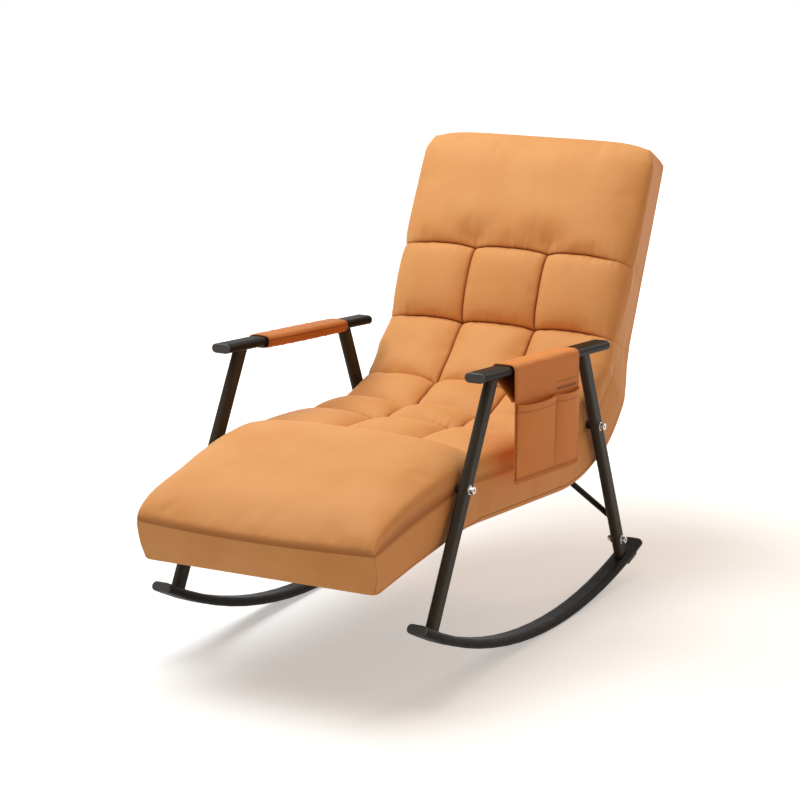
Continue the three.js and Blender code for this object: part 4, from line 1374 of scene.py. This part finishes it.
    def pocket(self, name: str, start: float, end: float, depth: float, material: Material) -> Piece:
        """Makes a patch pocket, sewn on at its sides and bottom, which bellies out at its mouth.

        Args:
            name: The piece's name.
            start: Its front edge along the chair.
            end: Its rear edge.
            depth: How far its mouth stands open.
            material: Its leatherette.

        Returns:
            The pocket.
        """
        across = crowded_ends(23)
        mouth_shares = (self.fold_share, 0.9, 0.915, 0.94, 0.97, 0.99, 1.0)
        up = np.array([*np.linspace(0, 0.86, 20), *mouth_shares])[:, None]
        y = start + (end - start) * across + 0 * up
        belly = np.maximum(1 - np.abs(2 * across - 1) ** 2.6, 0) ** 0.8
        z = self.pocket_low + (self.mouth - self.pocket_low) * up - self.mouth_sag * belly * up**6
        gap = depth * belly * (0.25 * np.sin(up * math.pi / 2) ** 0.6 + 0.75 * up**2.2)
        folded = np.clip((up - self.fold_share) / 0.015, 0, 1)
        thickness = np.broadcast_to(self.patch + self.patch_fold * folded, gap.shape)
        x = self.panel_x + self.thickness / 2 + self.drape(y, z) + gap + thickness / 2 + 0.1
        middle = np.stack([x, y + self.hang(z), z], axis=-1)
        to_side = np.minimum(y - start, end - y)
        foot = fading(z - self.pocket_low, 2.6)
        # Painted shade: the seam mark darkens the stitch line under the mouth, the sewn sides and the
        # foot.
        stitch = 0.5 * ridge(up - 0.9, 0.012) * np.ones_like(x)
        seam_shade = np.maximum.reduce([stitch, 0.45 * fading(to_side, 2.4), 0.4 * foot])
        fold = np.maximum(0.5 * fading(to_side, 14), 0.4 * foot)
        grid = SheetGrid(middle, thickness, {"seam_shade": seam_shade, "fold": fold})
        return grid.build(name, self.pose, material)

    def build(self) -> list[Piece]:
        """Returns:
            The sheet and its pockets.
        """
        material = ORGANISER_LEATHERETTE.material()
        sheet = self.sheet(material)
        front, rear = self.front + 1.5, self.rear - self.side_line
        pockets = [
            self.pocket("organiser_front_pocket", front, self.divider, self.front_depth, material),
            self.pocket("organiser_rear_pocket", self.divider, rear, self.rear_depth, material),
        ]
        for piece in (sheet, *pockets):
            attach(piece, Body.CHAIR.value)
        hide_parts("arm_organiser")
        return [sheet, *pockets]


@dataclass
class ArmSleeve:
    """The padded sleeve pulled over the far arm, open at both ends and seamed along its sides."""

    pose: RestPose
    centre_x: float = -290.0
    centre_z: float = 577.1
    front: float = -180.0
    rear: float = 148.0
    half_width: float = 25.5
    half_height: float = 12.7
    thickness: float = 3.0
    seams_deg: tuple[float, float] = (176.0, 14.0)
    seam_turn: float = 0.09
    hem_place: float = 7.0
    ruck: float = 0.7
    sag: float = 0.8
    around: int = 48
    along: int = 46

    def build(self) -> Piece:
        """Returns:
            The sleeve.
        """
        turn = np.linspace(0, 2 * math.pi, self.around, endpoint=False)[:, None]
        cos, sin = np.cos(turn), np.sin(turn)
        straight = self.half_width - self.half_height
        flat_x = np.clip(cos * 1.9, -1, 1) * straight + self.half_height * cos
        round_z = self.half_height * np.sign(sin) * np.abs(sin) ** 0.8
        share = crowded_ends(self.along)
        y = self.front + (self.rear - self.front) * share
        end = np.minimum(y - self.front, self.rear - y)
        ruck = self.ruck * waves(y, (47.0, 29.0), 1.1) * np.clip(end / 30, 0, 1)
        swell = 1 + 0.02 * np.sin(share * math.pi) - 0.03 * fading(end, self.hem_place)
        x = self.centre_x + flat_x * swell
        z = self.centre_z + round_z * swell + ruck * np.abs(sin)
        z = z - self.sag * np.clip(-sin, 0, 1) * np.sin(share * math.pi)
        middle = np.stack([x, np.broadcast_to(y, x.shape), z], axis=-1)
        # Painted shade: the seam mark darkens both side seams and the hems.
        outer, near = (ridge(turn - math.radians(place), self.seam_turn) for place in self.seams_deg)
        hem = 0.5 * ridge(end - self.hem_place, math.sqrt(3))
        seam_shade = np.maximum(np.maximum(outer, near) * 0.8, hem)
        marks = {"seam_shade": seam_shade, "fold": np.maximum(0.5 * near, fading(end, 9))}
        grid = SheetGrid(middle, self.thickness, marks, ring=True)
        sleeve = grid.build("arm_sleeve_sheet", self.pose, SLEEVE_LEATHERETTE.material())
        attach(sleeve, Body.CHAIR.value)
        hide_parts("arm_sleeve")
        return sleeve


def dress(nodes: dict[str, Piece]) -> None:
    """Gives each carried-over node of the frame its finish.

    Args:
        nodes: The frame's nodes by name.
    """
    rules = [(words, finish.material()) for words, finish in NODE_FINISHES]
    for name, node in nodes.items():
        chosen = next(material for words, material in rules if any(word in name for word in words))
        node.data.materials.clear()
        node.data.materials.append(chosen)


def seen_rays(owner: Material | bpy.types.World) -> Socket:
    """Tells the rays that are seen, directly or in a reflection, from those that only light.

    Args:
        owner: The material or world that asks.

    Returns:
        1 for a ray that is seen, else 0.
    """
    rays = add_node(owner, "LightPath").outputs
    other = maths(owner, "MAXIMUM", rays["Is Glossy Ray"], rays["Is Transmission Ray"])
    return maths(owner, "MAXIMUM", rays["Is Camera Ray"], other)


def link_to_scene(name: str, data: bpy.types.ID, place: Vector, back: Vector) -> Piece:
    """Puts a camera or a lamp in the scene.

    Args:
        name: Its name.
        data: The camera or the lamp.
        place: Where it stands.
        back: The way that its back points.

    Returns:
        The object that holds it.
    """
    made = bpy.data.objects.new(name, data)
    made.location = place
    made.rotation_euler = (-back).to_track_quat("-Z", "Y").to_euler()
    bpy.context.scene.collection.objects.link(made)
    return made


@dataclass
class Studio:
    """The pale floor, the soft lights and the camera."""

    target: tuple[float, float, float]
    focal_px: float = 2600.0
    sensor_mm: float = 36.0
    azimuth_deg: float = 28.53
    elevation_deg: float = 13.05
    distance: float = 5.3917
    floor_half: float = 12.0
    floor_lift: float = 0.42
    surroundings: float = 0.28
    warm: tuple[float, float, float, float] = (1.0, 0.65, 0.37, 1.0)
    lit: tuple[float, float, float] = (0.0, 0.0, 0.4)
    boxes: tuple[tuple[str, tuple[float, float, float], float, float, str], ...] = (
        ("overhead", (-0.9, -0.5, 3.2), 2.4, 84.0, "#f7ffff"),
        ("right", (3.4, -0.6, 1.5), 2.0, 9.0, "#ffd2a0"),
        ("behind", (0.9, 3.0, 2.4), 2.0, 22.0, "#fff0e0"),
    )

    def camera(self) -> None:
        """Places the camera where the photograph was taken from."""
        data = bpy.data.cameras.new("photo_camera")
        data.sensor_width = self.sensor_mm
        data.lens = self.focal_px / IMAGE_SIDE * self.sensor_mm
        data.clip_end = 50.0
        azimuth, elevation = math.radians(self.azimuth_deg), math.radians(self.elevation_deg)
        level = math.cos(elevation)
        across, along = math.sin(azimuth) * level, -math.cos(azimuth) * level
        back = Vector((across, along, math.sin(elevation)))
        place = Vector(self.target) + self.distance * back
        bpy.context.scene.camera = link_to_scene("photo_camera", data, place, back)

    def floor(self) -> None:
        """Lays the pale floor, which keeps the object's shadow and fades to white away from it."""
        made, shader = blank_material("studio_floor", {
            "Base Color": linear("#edf0f4"),
            "Roughness": 0.9,
            "Specular IOR Level": 0.1,
            "Emission Color": WHITE,
        })
        place = {"Vector": object_point(made)}
        away = add_node(made, "VectorMath", {"operation": "LENGTH"}, place).outputs["Value"]
        lift = ranged(made, away, from_min=0.9, from_max=2.2, to_min=self.floor_lift, to_max=1.0)
        feed(shader, {"Emission Strength": maths(made, "MULTIPLY", lift, seen_rays(made))})
        unit = np.array([[-1, -1, 0], [1, -1, 0], [1, 1, 0], [-1, 1, 0]])
        faces = [(0, 1, 2, 3)]
        tagged_mesh("studio_floor", unit * self.floor_half, faces, made, smooth=False)

    def lights(self) -> None:
        """Hangs the soft boxes: one large over the chair, a weak warm one on its +X side, one behind."""
        for name, place, size, power, colour in self.boxes:
            data = bpy.data.lights.new(name, "AREA")
            data.shape = "SQUARE"
            data.size = size
            data.energy = power
            data.color = linear(colour)[:3]
            link_to_scene(name, data, Vector(place), Vector(place) - Vector(self.lit))

    def world(self) -> None:
        """Surrounds the chair with even warm light, which the camera and reflections see as white."""
        world = bpy.data.worlds.new("studio")
        bpy.context.scene.world = world
        world.use_nodes = True
        world.node_tree.nodes.clear()
        soft, plain = (
            add_node(world, "Background", {"Color": colour, "Strength": strength}).outputs[0]
            for colour, strength in ((self.warm, self.surroundings), (WHITE, 1.0))
        )
        mix = add_node(world, "MixShader", None, {0: seen_rays(world), 1: soft, 2: plain})
        add_node(world, "OutputWorld", None, {"Surface": mix.outputs[0]})

    def build(self) -> None:
        """Sets the whole studio up."""
        self.camera()
        self.floor()
        self.lights()
        self.world()


def rest_pose(frame: dict, line: CushionLine) -> RestPose:
    """Fits the leaned-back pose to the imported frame's back hinge.

    Args:
        line: The cushion's side view, which holds the hinge.

    Returns:
        The pose, with its shift.
    """
    pose = RestPose()
    joints = frame["record"]["behaviour"]["joints"]
    joint = next(joint for joint in joints if joint["name"] == "back_recline")
    y, z = line.back_hinge()
    pose.shift = np.array(joint["pos_m"]) - pose.turned(np.array([0.0, y, z])) * MM
    return pose


def main() -> None:
    """Builds the dressed chair over its frame."""
    logging.basicConfig(level=logging.INFO, format="%(message)s")
    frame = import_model()
    bpy.context.scene.view_settings.view_transform = "Standard"
    line = CushionLine()
    pose = rest_pose(frame, line)
    Studio(pose.point(*CAMERA_TARGET)).build()
    dress(frame["nodes"])
    for cover in Upholstery(line, pose).build():
        LOG.info("made %s with %d faces", cover.name, len(cover.data.polygons))
    ArmOrganiser(pose).build()
    ArmSleeve(pose).build()


if __name__ == "__main__":
    main()
